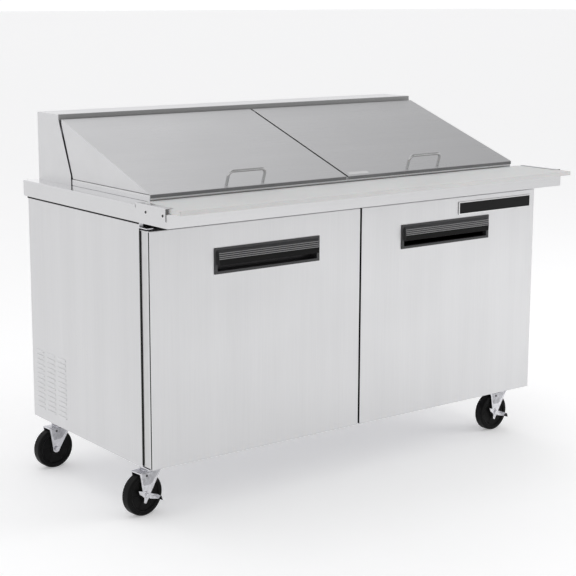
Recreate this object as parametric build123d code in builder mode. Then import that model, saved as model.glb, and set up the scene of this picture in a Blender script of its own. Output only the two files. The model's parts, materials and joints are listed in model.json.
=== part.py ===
"""Two-door refrigerated sandwich prep table on casters, as an assembly of separate pieces.

Millimetres. X runs from the left end to the right end, Y from front to back, Z up from the floor.
The origin is on the floor, under the middle of the table's outline.
"""

import math
import os

from build123d import *

os.makedirs("parts", exist_ok=True)

# Overall layout
overall_depth = 883.0
worktop_lip_rear = 5.0
cabinet_width = 1508.0
cabinet_depth = 661.0
cabinet_bottom = 158.0
sheet = 1.5
back_y = overall_depth / 2 - worktop_lip_rear
front_y = back_y - cabinet_depth
half_width = cabinet_width / 2
inner_half_width = half_width - sheet

# Worktop, its front ledge and its folded rim
worktop_half_width = 767.0
worktop_top = 919.0
ledge_top = 910.0
rim_bottom = 870.0
apron_y = back_y - 828.0
ledge_rear_y = front_y - 3.0
worktop_rear_y = overall_depth / 2
under_worktop = worktop_top - sheet

# Pan opening and the collar round it
opening_half_width = 700.0
opening_front_y = back_y - 641.0
opening_rear_y = back_y - 163.0
collar_half_width = 712.0
collar_wall = 7.0
collar_front_y = back_y - 652.0
collar_rear_y = back_y - 153.0
collar_top = 938.0

# Hood behind the lids
hood_half_width = 715.0
hood_rear_y = back_y - 2.0
hood_top = 1129.5
hood_front_y = back_y - 138.0
hood_lip_bottom = 1113.0
hood_foot_y = back_y - 208.0
hood_foot_top = 949.0

# Lids
lid_gap = 7.0
lid_front_y = back_y - 655.0
lid_rear_y = back_y - 152.0
lid_front_top = 939.5
lid_rear_top = 1114.6
lip_bottom = 929.0
lid_slope = (lid_rear_top - lid_front_top) / (lid_rear_y - lid_front_y)
lid_angle = math.atan(lid_slope)
cheek_bottom = 939.5
cheek_rear_y = hood_foot_y - 8.0
hinge_y = back_y - 158.0
hinge_z = 1104.0
hinge_rod_radius = 4.0
hinge_clearance = 0.08
lid_core_thickness = 10.0
core_front_gap = 14.0
core_rear_gap = 36.0
core_end_gap = 8.0
lid_handle_radius = 4.5
lid_handle_width = 140.0
lid_handle_height = 48.0
lid_handle_bend = 16.0
lid_handle_foot_y = back_y - 640.0
lid_handle_centres = {"left": -378.0, "right": 322.0}

# Doors
door_half_span = 758.0
door_gap = 7.0
door_bottom = 166.0
door_top = 849.0
door_back_y = front_y - 7.0
door_front_y = door_back_y - 54.0
door_skin_depth = 14.6
door_seam = 0.4
door_hinge_x = 747.0
door_hinge_y = (door_back_y + door_front_y) / 2
hinge_pin_radius = 5.0
gasket_inset = 6.0
gasket_hinge_inset = 17.0
gasket_width = 16.0
pull_centre_x = 354.0
pull_width = 380.0
pull_bottom = 705.0
pull_top = 781.0

# Door openings in the front frame
mullion_half_width = 30.0
frame_depth = 12.0
door_opening_half_span = 712.0
door_opening_bottom = 205.0
door_opening_top = 812.0

# Insulated box and the machine bay behind its lower half
liner_half_width = 714.0
liner_bottom = 200.0
liner_rear_y = 380.0
liner_step_y = 173.0
liner_step_z = 435.0
bay_front_y = 213.0
bay_top = 395.0
base_rail_height = 24.0

# Cutting board and its end brackets
board_half_width = 758.0
board_front_y = -overall_depth / 2
board_rear_y = ledge_rear_y - 0.5
board_thickness = 12.7
board_lift = 0.2
board_chamfer = 1.2
board_corner = 3.0
bracket_plate = 1.5
bracket_front_y = back_y - 823.0
bracket_rear_y = back_y - 669.0
bracket_bottom = 888.0
bracket_flange_bottom = 923.5
bracket_flange_width = 24.0
bracket_screw_depths = (722.0, 808.0)
bracket_screw_z = 904.0
screw_shank_radius = 2.5
screw_hole_radius = 2.6
screw_head_radius = 5.5
screw_head_height = 2.2
screw_length = 10.0

# Casters
wheel_radius = 63.5
wheel_width = 32.0
caster_trail = 30.0
kingpin_radius = 6.0
axle_radius = 5.0
running_gap = 0.06
fork_gap = 36.0
fork_plate = 3.0
caster_front_y = back_y - 613.0
caster_rear_y = back_y - 75.0
casters = {
    "front_left": (-700.0, caster_front_y, 187.0, True),
    "front_right": (722.0, caster_front_y, 182.5, True),
    "rear_left": (-700.0, caster_rear_y, 183.0, False),
    "rear_right": (722.0, caster_rear_y, 47.9, False),
}

sides = {"left": -1, "right": 1}


def save(piece, label):
    """Labels a finished piece and writes it as its own file."""
    piece.part.label = label
    export_step(piece.part, f"parts/{label}.step")


def span_box(x, y, z, mode=Mode.ADD):
    """A box between two limits on each axis, given in either order."""
    centre = tuple((limits[0] + limits[1]) / 2 for limits in (x, y, z))
    size = tuple(abs(limits[1] - limits[0]) for limits in (x, y, z))
    with Locations(centre):
        Box(*size, mode=mode)


def outline(plane, points):
    """A closed flat face through the given points of a plane."""
    with BuildSketch(plane) as drawing:
        with BuildLine():
            Polyline(*points, close=True)
        make_face()
    return drawing.sketch


def disc(plane, radius):
    """A round face on a plane."""
    with BuildSketch(plane) as drawing:
        Circle(radius)
    return drawing.sketch


# ---- cabinet shell ----

louvre_size = (52.0, 4.2)
louvre_pitch = (70.5, 15.4)
louvre_count = (3, 13)
louvre_centre = (back_y - 121.5, 286.5)
panel_flange = 14.0


def make_side_panel(label, side, louvred):
    """Outer end sheet with a folded rear flange, louvred beside the machine bay."""
    outer = side * half_width
    inner = side * inner_half_width
    fold = side * (inner_half_width - panel_flange)
    rear_fold_y = back_y - sheet
    with BuildPart() as panel:
        span_box((outer, inner), (front_y, back_y), (cabinet_bottom, under_worktop))
        span_box((inner, fold), (rear_fold_y, back_y), (cabinet_bottom, under_worktop))
        if louvred:
            with BuildSketch(Plane.YZ.offset(outer)):
                with Locations(louvre_centre):
                    with GridLocations(*louvre_pitch, *louvre_count):
                        Rectangle(*louvre_size)
            extrude(amount=2 * sheet, both=True, mode=Mode.SUBTRACT)
    save(panel, label)


make_side_panel("left_side_panel", sides["left"], True)
make_side_panel("right_side_panel", sides["right"], False)

gland_x = -600.0
gland_z = 232.0
gland_hole_radius = 10.0
grille_centre = (-250.0, 290.0)
grille_slot = (150.0, 6.0)
grille_pitch = (170.0, 14.0)
grille_count = (4, 12)
rear_half_width = inner_half_width - panel_flange

with BuildPart() as rear_panel:
    span_box((-rear_half_width, rear_half_width), (back_y - sheet, back_y), (cabinet_bottom, under_worktop))
    with BuildSketch(Plane.XZ.offset(-back_y)):
        with Locations(grille_centre):
            with GridLocations(*grille_pitch, *grille_count):
                Rectangle(*grille_slot)
        with Locations((gland_x, gland_z)):
            Circle(gland_hole_radius)
    extrude(amount=2 * sheet, both=True, mode=Mode.SUBTRACT)
save(rear_panel, "rear_panel")

base_rail_width = 70.0
base_rear_y = back_y - sheet

with BuildPart() as base_frame:
    span_box(
        (-inner_half_width, inner_half_width),
        (front_y, base_rear_y),
        (cabinet_bottom, cabinet_bottom + sheet),
    )
    for rail_x in (-700.0, 0.0, 700.0):
        rail_limit = (rail_x - base_rail_width / 2, rail_x + base_rail_width / 2)
        rail_hollow = (rail_limit[0] + sheet, rail_limit[1] - sheet)
        rail_run = (front_y + frame_depth, base_rear_y)
        rail_top = cabinet_bottom + sheet + base_rail_height
        span_box(rail_limit, rail_run, (cabinet_bottom, rail_top))
        span_box(rail_hollow, rail_run, (cabinet_bottom + sheet, rail_top - sheet), mode=Mode.SUBTRACT)
save(base_frame, "base_frame")

frame_bottom = cabinet_bottom + sheet
frame_back_y = front_y + frame_depth

with BuildPart() as front_frame:
    span_box((-inner_half_width, inner_half_width), (front_y, frame_back_y), (frame_bottom, under_worktop))
    for side in sides.values():
        span_box(
            (side * mullion_half_width, side * door_opening_half_span),
            (front_y - sheet, frame_back_y + sheet),
            (door_opening_bottom, door_opening_top),
            mode=Mode.SUBTRACT,
        )
save(front_frame, "front_frame")

# ---- insulated box ----

line_hole_radius = 9.0
line_y = 335.0
line_xs = (-300.0, -270.0)
foam_bottom = cabinet_bottom + sheet + base_rail_height


def box_section(margin, front, top):
    """Side outline of the stepped storage box, grown outwards by a margin."""
    return [
        (front, liner_bottom - margin),
        (liner_step_y + margin, liner_bottom - margin),
        (liner_step_y + margin, liner_step_z - margin),
        (liner_rear_y + margin, liner_step_z - margin),
        (liner_rear_y + margin, top),
        (front, top),
    ]


with BuildPart() as interior_liner:
    section = box_section(0, frame_back_y, under_worktop)
    extrude(outline(Plane.YZ.offset(-liner_half_width), section), amount=2 * liner_half_width)
    hollow = box_section(-sheet, frame_back_y - sheet, under_worktop + sheet)
    inner_width = liner_half_width - sheet
    extrude(
        outline(Plane.YZ.offset(-inner_width), hollow),
        amount=2 * inner_width,
        mode=Mode.SUBTRACT,
    )
    for line_x in line_xs:
        with Locations((line_x, line_y, liner_step_z)):
            Cylinder(line_hole_radius, base_rail_height, mode=Mode.SUBTRACT)
save(interior_liner, "interior_liner")

with BuildPart() as foam_insulation:
    foam_half_width = inner_half_width
    foam_rear_y = back_y - sheet
    foam_section = [
        (frame_back_y, foam_bottom),
        (bay_front_y, foam_bottom),
        (bay_front_y, bay_top),
        (foam_rear_y, bay_top),
        (foam_rear_y, under_worktop),
        (frame_back_y, under_worktop),
    ]
    extrude(outline(Plane.YZ.offset(-foam_half_width), foam_section), amount=2 * foam_half_width)
    void = box_section(0, frame_back_y - sheet, under_worktop + sheet)
    extrude(
        outline(Plane.YZ.offset(-liner_half_width), void),
        amount=2 * liner_half_width,
        mode=Mode.SUBTRACT,
    )
    for line_x in line_xs:
        with Locations((line_x, line_y, bay_top)):
            Cylinder(line_hole_radius, 4 * base_rail_height, mode=Mode.SUBTRACT)
save(foam_insulation, "foam_insulation")

# ---- worktop and pan rail ----

with BuildPart() as worktop:
    outer_section = [
        (apron_y, rim_bottom),
        (apron_y, ledge_top),
        (ledge_rear_y, ledge_top),
        (ledge_rear_y, worktop_top),
        (worktop_rear_y, worktop_top),
        (worktop_rear_y, rim_bottom),
    ]
    inner_section = [
        (apron_y + sheet, rim_bottom - sheet),
        (apron_y + sheet, ledge_top - sheet),
        (ledge_rear_y + sheet, ledge_top - sheet),
        (ledge_rear_y + sheet, under_worktop),
        (worktop_rear_y - sheet, under_worktop),
        (worktop_rear_y - sheet, rim_bottom - sheet),
    ]
    inner_top_half_width = worktop_half_width - sheet
    extrude(outline(Plane.YZ.offset(-worktop_half_width), outer_section), amount=2 * worktop_half_width)
    extrude(
        outline(Plane.YZ.offset(-inner_top_half_width), inner_section),
        amount=2 * inner_top_half_width,
        mode=Mode.SUBTRACT,
    )
    span_box(
        (-opening_half_width, opening_half_width),
        (opening_front_y, opening_rear_y),
        (rim_bottom, worktop_top + sheet),
        mode=Mode.SUBTRACT,
    )
    for depth in bracket_screw_depths:
        with Locations(Plane.YZ * Location((back_y - depth, bracket_screw_z, 0))):
            Cylinder(screw_hole_radius, 4 * worktop_half_width, mode=Mode.SUBTRACT)
save(worktop, "worktop")

with BuildPart() as pan_rail_collar:
    span_box(
        (-collar_half_width, collar_half_width),
        (collar_front_y, collar_rear_y),
        (worktop_top, collar_top),
    )
    span_box(
        (collar_wall - collar_half_width, collar_half_width - collar_wall),
        (collar_front_y + collar_wall, collar_rear_y - collar_wall),
        (worktop_top - sheet, collar_top + sheet),
        mode=Mode.SUBTRACT,
    )
save(pan_rail_collar, "pan_rail_collar")

# ---- hood ----

with BuildPart() as hood_shell:
    end_section = [
        (hood_rear_y, worktop_top),
        (hood_rear_y, hood_top),
        (hood_front_y, hood_top),
        (hood_front_y, hood_lip_bottom),
        (hood_foot_y, hood_foot_top),
        (hood_foot_y, worktop_top),
    ]
    hood_hollow = [
        (hood_rear_y - sheet, worktop_top - sheet),
        (hood_rear_y - sheet, hood_top - sheet),
        (hood_front_y + sheet, hood_top - sheet),
        (hood_front_y + sheet, hood_lip_bottom),
        (hood_foot_y - sheet, hood_lip_bottom),
        (hood_foot_y - sheet, worktop_top - sheet),
    ]
    hood_inner_half = hood_half_width - sheet
    extrude(outline(Plane.YZ.offset(-hood_half_width), end_section), amount=2 * hood_half_width)
    extrude(
        outline(Plane.YZ.offset(-hood_inner_half), hood_hollow),
        amount=2 * hood_inner_half,
        mode=Mode.SUBTRACT,
    )
save(hood_shell, "hood_shell")

liner_wall_y = hood_front_y + sheet
air_slot = (90.0, 8.0)
air_slot_pitch = 170.0
air_slot_count = 8
air_slot_z = 960.0

with BuildPart() as hood_liner:
    span_box(
        (-hood_inner_half, hood_inner_half),
        (liner_wall_y, liner_wall_y + sheet),
        (worktop_top, hood_top - sheet),
    )
    with BuildSketch(Plane.XZ.offset(-liner_wall_y)):
        with Locations((0, air_slot_z)):
            with GridLocations(air_slot_pitch, 1, air_slot_count, 1):
                Rectangle(*air_slot)
    extrude(amount=2 * sheet, both=True, mode=Mode.SUBTRACT)
save(hood_liner, "hood_liner")

# ---- lid hinges: three plates on the hood and one rod through both lids ----

hinge_plate = 3.0
hinge_plate_xs = (-704.0, 0.0, 704.0)
hinge_foot_bottom = hinge_z - 44.0
hinge_foot_top = hinge_z - 18.0
hinge_boss_radius = 5.8

with BuildPart() as lid_hinges:
    arm = [
        (liner_wall_y, hinge_foot_bottom),
        (liner_wall_y, hinge_foot_top),
        (hinge_y + hinge_boss_radius, hinge_foot_top),
        (hinge_y + hinge_boss_radius, hinge_z),
        (hinge_y - hinge_boss_radius, hinge_z),
        (hinge_y - hinge_boss_radius, hinge_foot_bottom),
    ]
    for plate_x in hinge_plate_xs:
        plate_plane = Plane.YZ.offset(plate_x - hinge_plate / 2)
        extrude(outline(plate_plane, arm), amount=hinge_plate)
        with Locations(Plane.YZ.offset(plate_x) * Location((hinge_y, hinge_z, 0))):
            Cylinder(hinge_boss_radius, hinge_plate)
            Cylinder(hinge_rod_radius, 2 * hinge_plate, mode=Mode.SUBTRACT)

with BuildPart() as hinge_rod:
    with Locations(Plane.YZ * Location((hinge_y, hinge_z, 0))):
        Cylinder(hinge_rod_radius, 2 * collar_half_width)

lid_hinge_pieces = Compound(children=[*lid_hinges.part.solids(), hinge_rod.part.solid()])
lid_hinge_pieces.label = "lid_hinges"
export_step(lid_hinge_pieces, "parts/lid_hinges.step")

# ---- food pans and the bars between them ----

pan_columns = 8
pan_wall = 1.2
pan_rim = 6.0
pan_depth = 100.0
pan_column_width = 2 * opening_half_width / pan_columns
long_bar_half = 4.0
cross_bar_half = 3.0
bar_y = opening_front_y + 154.0
bar_bottom = under_worktop - 8.0
pan_rim_bottom = worktop_top
pan_rim_top = worktop_top + pan_wall


def make_pans(label, front, rear):
    """One row of rectangular pans hung by their rims, all the same size."""
    with BuildPart() as pans:
        for column in range(pan_columns):
            left = -opening_half_width + column * pan_column_width
            rim_x = (left + 1, left + pan_column_width - 1)
            body_x = (rim_x[0] + pan_rim, rim_x[1] - pan_rim)
            body_y = (front + pan_rim, rear - pan_rim)
            hollow_x = (body_x[0] + pan_wall, body_x[1] - pan_wall)
            hollow_y = (body_y[0] + pan_wall, body_y[1] - pan_wall)
            floor = pan_rim_top - pan_depth
            span_box(rim_x, (front, rear), (pan_rim_bottom, pan_rim_top))
            span_box(body_x, body_y, (floor, pan_rim_top))
            span_box(hollow_x, hollow_y, (floor + pan_wall, pan_rim_top + 1), mode=Mode.SUBTRACT)
    save(pans, label)


make_pans("sixth_size_pans", opening_front_y - pan_rim / 2, bar_y - 0.5)
make_pans("third_size_pans", bar_y + 0.5, opening_rear_y + pan_rim / 2)



def make_bar(x, y):
    """One straight bar under the pan rims, between two limits on X and on Y."""
    with BuildPart() as bar:
        span_box(x, y, (bar_bottom, worktop_top))
    return bar.part.solid()


long_bar_y = (bar_y - long_bar_half, bar_y + long_bar_half)
bars = [make_bar((-opening_half_width, opening_half_width), long_bar_y)]
for column in range(1, pan_columns):
    bar_x = -opening_half_width + column * pan_column_width
    for bar_run in ((opening_front_y, long_bar_y[0]), (long_bar_y[1], opening_rear_y)):
        bars.append(make_bar((bar_x - cross_bar_half, bar_x + cross_bar_half), bar_run))
pan_bars = Compound(children=bars)
pan_bars.label = "pan_bars"
export_step(pan_bars, "parts/pan_bars.step")

# ---- storage shelves ----

shelf_z = 500.0
shelf_x = (18.0, 706.0)
shelf_y = (-188.0, 276.0)
shelf_rod_radius = 3.5
shelf_wire_radius = 2.0
shelf_wire_lift = 4.0
shelf_wire_count = 15

with BuildPart() as wire_shelves:
    for side in sides.values():
        shelf_mid_x = side * (shelf_x[0] + shelf_x[1]) / 2
        shelf_width = shelf_x[1] - shelf_x[0]
        for rod_y in (shelf_y[0], (shelf_y[0] + shelf_y[1]) / 2, shelf_y[1]):
            with Locations(Location((shelf_mid_x, rod_y, shelf_z), (0, 90, 0))):
                Cylinder(shelf_rod_radius, shelf_width)
        wire_gap = (shelf_width - 4 * shelf_rod_radius) / (shelf_wire_count - 1)
        wire_length = shelf_y[1] - shelf_y[0] + 4 * shelf_rod_radius
        for wire in range(shelf_wire_count):
            wire_x = side * (shelf_x[0] + 2 * shelf_rod_radius + wire * wire_gap)
            wire_y = (shelf_y[0] + shelf_y[1]) / 2
            with Locations(Location((wire_x, wire_y, shelf_z + shelf_wire_lift), (90, 0, 0))):
                Cylinder(shelf_wire_radius, wire_length)
save(wire_shelves, "wire_shelves")

pilaster = (15.0, 2.5)
pilaster_z = (215.0, 800.0)
pilaster_rear_z = (liner_step_z + 5.0, 800.0)
pilaster_ys = (-150.0, 240.0)
centre_post_half = 20.0
centre_clip_half = 40.0
clip_reach = 14.0
clip_top = shelf_z - shelf_rod_radius
clip_height = 6.0
clip_z = (clip_top - clip_height, clip_top)

with BuildPart() as shelf_pilasters:
    for side in sides.values():
        wall_x = side * (liner_half_width - sheet)
        for post_y, post_z in zip(pilaster_ys, (pilaster_z, pilaster_rear_z)):
            post_limit = (post_y - pilaster[0] / 2, post_y + pilaster[0] / 2)
            span_box((wall_x, wall_x - side * pilaster[1]), post_limit, post_z)
            span_box((wall_x, wall_x - side * clip_reach), post_limit, clip_z)
    centre_post_x = (-centre_post_half, centre_post_half)
    centre_clip_x = (-centre_clip_half, centre_clip_half)
    span_box(centre_post_x, (frame_back_y, frame_back_y + pilaster[1]), pilaster_z)
    span_box(centre_clip_x, (frame_back_y, shelf_y[0] + clip_height), clip_z)
save(shelf_pilasters, "shelf_pilasters")

# ---- evaporator inside the box ----

evaporator_x = (-350.0, 350.0)
evaporator_y = (292.0, liner_rear_y - sheet)
evaporator_z = (560.0, 780.0)
evaporator_fan_radius = 72.0
evaporator_fan_z = 670.0
fan_ring_gap = 5.0

with BuildPart() as evaporator_housing:
    span_box(evaporator_x, evaporator_y, evaporator_z)
    span_box(
        (evaporator_x[0] + sheet, evaporator_x[1] - sheet),
        (evaporator_y[0] + sheet, evaporator_y[1] + sheet),
        (evaporator_z[0] + sheet, evaporator_z[1] - sheet),
        mode=Mode.SUBTRACT,
    )
    with Locations(Plane.XZ * Location((0, evaporator_fan_z, -evaporator_y[0]))):
        Cylinder(evaporator_fan_radius + fan_ring_gap, 4 * sheet, mode=Mode.SUBTRACT)
    for line_x in line_xs:
        with Locations((line_x, line_y, evaporator_z[0])):
            Cylinder(line_hole_radius, 4 * sheet, mode=Mode.SUBTRACT)
save(evaporator_housing, "evaporator_housing")

coil_half_width = 330.0
coil_y = (evaporator_y[1] - 34.0, evaporator_y[1] - 2.0)
coil_z = (evaporator_z[0] + 30.0, evaporator_z[1] - 12.0)
coil_slot_count = 21
coil_slot_pitch = 30.0
coil_slot = (18.0, 158.0)
coil_slot_depth = 12.0

with BuildPart() as evaporator_coil:
    span_box((-coil_half_width, coil_half_width), coil_y, coil_z)
    with BuildSketch(Plane.XZ.offset(-coil_y[0])):
        with Locations((0, (coil_z[0] + coil_z[1]) / 2)):
            with GridLocations(coil_slot_pitch, 1, coil_slot_count, 1):
                Rectangle(*coil_slot)
    extrude(amount=-coil_slot_depth, mode=Mode.SUBTRACT)
save(evaporator_coil, "evaporator_coil")

# ---- condensing unit in the machine bay ----

bay_floor = foam_bottom
condenser_x = (-736.0, -700.0)
condenser_y = (246.0, 424.0)
condenser_z = (bay_floor, 350.0)
condenser_fan_y = (condenser_y[0] + condenser_y[1]) / 2
condenser_fan_z = 267.0
condenser_fan_radius = 76.0
condenser_slot_count = 10
condenser_slot_pitch = 15.0
condenser_slot = (158.0, 8.0)
condenser_slot_depth = 10.0
shroud_depth = 26.0
fan_tip_gap = 4.0
shaft_radius = 3.0

with BuildPart() as condenser_coil:
    span_box(condenser_x, condenser_y, condenser_z)
    with BuildSketch(Plane.YZ.offset(condenser_x[0])):
        with Locations((condenser_fan_y, (condenser_z[0] + condenser_z[1]) / 2)):
            with GridLocations(1, condenser_slot_pitch, 1, condenser_slot_count):
                Rectangle(*condenser_slot)
    extrude(amount=condenser_slot_depth, mode=Mode.SUBTRACT)
save(condenser_coil, "condenser_coil")

with BuildPart() as condenser_shroud:
    shroud_x = (condenser_x[1], condenser_x[1] + shroud_depth)
    span_box(shroud_x, condenser_y, condenser_z)
    with Locations(Plane.YZ.offset(condenser_x[1]) * Location((condenser_fan_y, condenser_fan_z, 0))):
        Cylinder(condenser_fan_radius + fan_ring_gap, 4 * shroud_depth, mode=Mode.SUBTRACT)
save(condenser_shroud, "condenser_shroud")


def make_fan(label, plane, radius, hub_radius, depth):
    """Five-bladed fan with its bore on the plane's normal."""
    blade_count = 5
    blade_pitch = 28.0
    blade_root = 3.0
    blade_chord = 1.6 * depth
    blade_thickness = 1.6
    blade_length = radius - hub_radius + blade_root
    with BuildPart(plane) as fan:
        Cylinder(hub_radius, depth)
        with PolarLocations(hub_radius - blade_root + blade_length / 2, blade_count):
            Box(blade_length, blade_chord, blade_thickness, rotation=(blade_pitch, 0, 0))
        Cylinder(shaft_radius + running_gap, 4 * depth, mode=Mode.SUBTRACT)
    save(fan, label)


condenser_fan_x = condenser_x[1] + 12.0
evaporator_fan_y = evaporator_y[0] + 10.0
condenser_fan_plane = Plane(
    origin=(condenser_fan_x, condenser_fan_y, condenser_fan_z), x_dir=(0, 1, 0), z_dir=(1, 0, 0)
)
evaporator_fan_plane = Plane(
    origin=(0, evaporator_fan_y, evaporator_fan_z), x_dir=(1, 0, 0), z_dir=(0, 1, 0)
)
make_fan(
    "condenser_fan",
    condenser_fan_plane,
    radius=condenser_fan_radius - fan_tip_gap,
    hub_radius=18.0,
    depth=12.0,
)
make_fan(
    "evaporator_fan",
    evaporator_fan_plane,
    radius=evaporator_fan_radius - fan_tip_gap,
    hub_radius=16.0,
    depth=10.0,
)

motor_radius = 26.0
motor_length = 30.0
motor_gap = 10.0
shaft_centre = 2.0
motor_rail_depth = 4.0
motor_rail_half = 8.0

with BuildPart() as fan_motors:
    with Locations(condenser_fan_plane * Location((0, 0, motor_gap + motor_length / 2))):
        Cylinder(motor_radius, motor_length)
    with Locations(condenser_fan_plane * Location((0, 0, shaft_centre))):
        Cylinder(shaft_radius, 2 * motor_gap)
    span_box(
        (condenser_x[1] + shroud_depth, condenser_x[1] + shroud_depth + motor_rail_depth),
        condenser_y,
        (condenser_fan_z - motor_rail_half, condenser_fan_z + motor_rail_half),
    )
    with Locations(evaporator_fan_plane * Location((0, 0, motor_gap + motor_length / 2))):
        Cylinder(motor_radius, motor_length)
    with Locations(evaporator_fan_plane * Location((0, 0, shaft_centre))):
        Cylinder(shaft_radius, 2 * motor_gap)
save(fan_motors, "fan_motors")

compressor_at = (-450.0, 322.0)
compressor_radius = 78.0
compressor_height = 150.0
compressor_dome = 24.0
compressor_bottom = bay_floor + 12.0
mount_plate = (190.0, 80.0)
mount_plate_z = (bay_floor + 8.0, bay_floor + 20.0)
mount_foot_grid = (170.0, 60.0)
mount_foot_radius = 9.0

with BuildPart() as compressor:
    with Locations((*compressor_at, compressor_bottom)):
        Cylinder(compressor_radius, compressor_height, align=(Align.CENTER, Align.CENTER, Align.MIN))
    fillet(compressor.edges().filter_by(GeomType.CIRCLE), radius=compressor_dome)
    span_box(
        (compressor_at[0] - mount_plate[0] / 2, compressor_at[0] + mount_plate[0] / 2),
        (compressor_at[1] - mount_plate[1] / 2, compressor_at[1] + mount_plate[1] / 2),
        mount_plate_z,
    )
    foot_height = mount_plate_z[0] - bay_floor
    with Locations((*compressor_at, bay_floor + foot_height / 2)):
        with GridLocations(*mount_foot_grid, 2, 2):
            Cylinder(mount_foot_radius, foot_height)
save(compressor, "compressor")

line_radius = 4.0
port_offset = 20.0
suction_y = line_y - 28.0
compressor_top = compressor_bottom + compressor_height
line_level = compressor_top + 22.0
coil_port_z = evaporator_z[0] + 30.0
discharge_x = compressor_at[0] - port_offset
suction_x = compressor_at[0] + port_offset
coil_port_x = (condenser_x[0] + condenser_x[1]) / 2
liquid_level = bay_floor + 30.0
liquid_y = condenser_y[0] - 16.0
discharge_route = [
    (discharge_x, line_y, compressor_top),
    (discharge_x, line_y, line_level),
    (coil_port_x, line_y, line_level),
    (coil_port_x, line_y, condenser_z[1]),
]
suction_route = [
    (suction_x, suction_y, compressor_top),
    (suction_x, suction_y, line_level),
    (line_xs[0], suction_y, line_level),
    (line_xs[0], line_y, line_level),
    (line_xs[0], line_y, coil_port_z),
]
liquid_route = [
    (coil_port_x, condenser_y[0], liquid_level),
    (coil_port_x, liquid_y, liquid_level),
    (line_xs[1], liquid_y, liquid_level),
    (line_xs[1], line_y, liquid_level),
    (line_xs[1], line_y, coil_port_z),
]
bend_radius = 10.0


def make_tube(route):
    """Copper tube along straight runs joined by equal bends."""
    with BuildPart() as tube:
        with BuildLine() as path:
            FilletPolyline(*route, radius=bend_radius)
        with BuildSketch(Plane(origin=path.line @ 0, z_dir=path.line % 0)):
            Circle(line_radius)
        sweep()
    return tube.part.solid()


tubes = [make_tube(route) for route in (discharge_route, suction_route, liquid_route)]
refrigerant_lines = Compound(children=tubes)
refrigerant_lines.label = "refrigerant_lines"
export_step(refrigerant_lines, "parts/refrigerant_lines.step")

control_box_x = (-180.0, -60.0)
control_box_y = (300.0, 420.0)
control_box_top = 300.0
control_box_corner = 6.0
knob_at = (-120.0, control_box_y[0], 260.0)
knob_radius = 16.0
knob_length = 12.0

with BuildPart() as control_box:
    span_box(control_box_x, control_box_y, (bay_floor, control_box_top))
    fillet(control_box.edges().filter_by(Axis.Z), radius=control_box_corner)
    with Locations(Location(knob_at, (90, 0, 0))):
        Cylinder(knob_radius, knob_length)
save(control_box, "control_box")

gland_radius = 15.0
gland_bore = 5.0
gland_outer_y = worktop_rear_y - 0.5
gland_inner_y = back_y - 20.0

with BuildPart() as power_cord_gland:
    gland_plane = Plane(origin=(gland_x, 0, gland_z), x_dir=(1, 0, 0), z_dir=(0, 1, 0))
    with BuildSketch(gland_plane.offset(back_y)):
        Circle(gland_radius)
    extrude(amount=gland_outer_y - back_y)
    with BuildSketch(gland_plane.offset(gland_inner_y)):
        Circle(gland_hole_radius)
    extrude(amount=back_y - gland_inner_y)
    with BuildSketch(gland_plane.offset(gland_inner_y)):
        Circle(gland_bore)
    extrude(amount=2 * (back_y - gland_inner_y), mode=Mode.SUBTRACT)
save(power_cord_gland, "power_cord_gland")

# ---- cutting board and brackets ----

board_bottom = ledge_top + board_lift

with BuildPart() as cutting_board:
    span_box(
        (-board_half_width, board_half_width),
        (board_front_y, board_rear_y),
        (board_bottom, board_bottom + board_thickness),
    )
    chamfer(cutting_board.faces().sort_by(Axis.Z)[-1].edges(), length=board_chamfer)
    fillet(cutting_board.edges().filter_by(Axis.Z), radius=board_corner)
save(cutting_board, "cutting_board")

with BuildPart() as board_brackets:
    for side in sides.values():
        plate_inner = side * worktop_half_width
        plate_outer = side * (worktop_half_width + bracket_plate)
        flange_edge = side * (worktop_half_width + bracket_plate - bracket_flange_width)
        flange_top = bracket_flange_bottom + bracket_plate
        bracket_run = (bracket_front_y, bracket_rear_y)
        span_box((plate_inner, plate_outer), bracket_run, (bracket_bottom, flange_top))
        span_box((plate_outer, flange_edge), bracket_run, (bracket_flange_bottom, flange_top))
    for depth in bracket_screw_depths:
        with Locations(Plane.YZ * Location((back_y - depth, bracket_screw_z, 0))):
            Cylinder(screw_hole_radius, 4 * worktop_half_width, mode=Mode.SUBTRACT)
save(board_brackets, "board_brackets")

with BuildPart() as board_bracket_screws:
    for side in sides.values():
        head_x = side * (worktop_half_width + bracket_plate + screw_head_height / 2)
        shank_x = side * (worktop_half_width + bracket_plate - screw_length / 2)
        for depth in bracket_screw_depths:
            with Locations(Plane.YZ.offset(head_x) * Location((back_y - depth, bracket_screw_z, 0))):
                Cylinder(screw_head_radius, screw_head_height)
            with Locations(Plane.YZ.offset(shank_x) * Location((back_y - depth, bracket_screw_z, 0))):
                Cylinder(screw_shank_radius, screw_length)
save(board_bracket_screws, "board_bracket_screws")

# ---- lids ----

def lid_height(y, below=0.0):
    """Height of the lid's top plane at y, or of a plane parallel to it a given depth below."""
    return lid_front_top + (y - lid_front_y) * lid_slope - below / math.cos(lid_angle)


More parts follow.
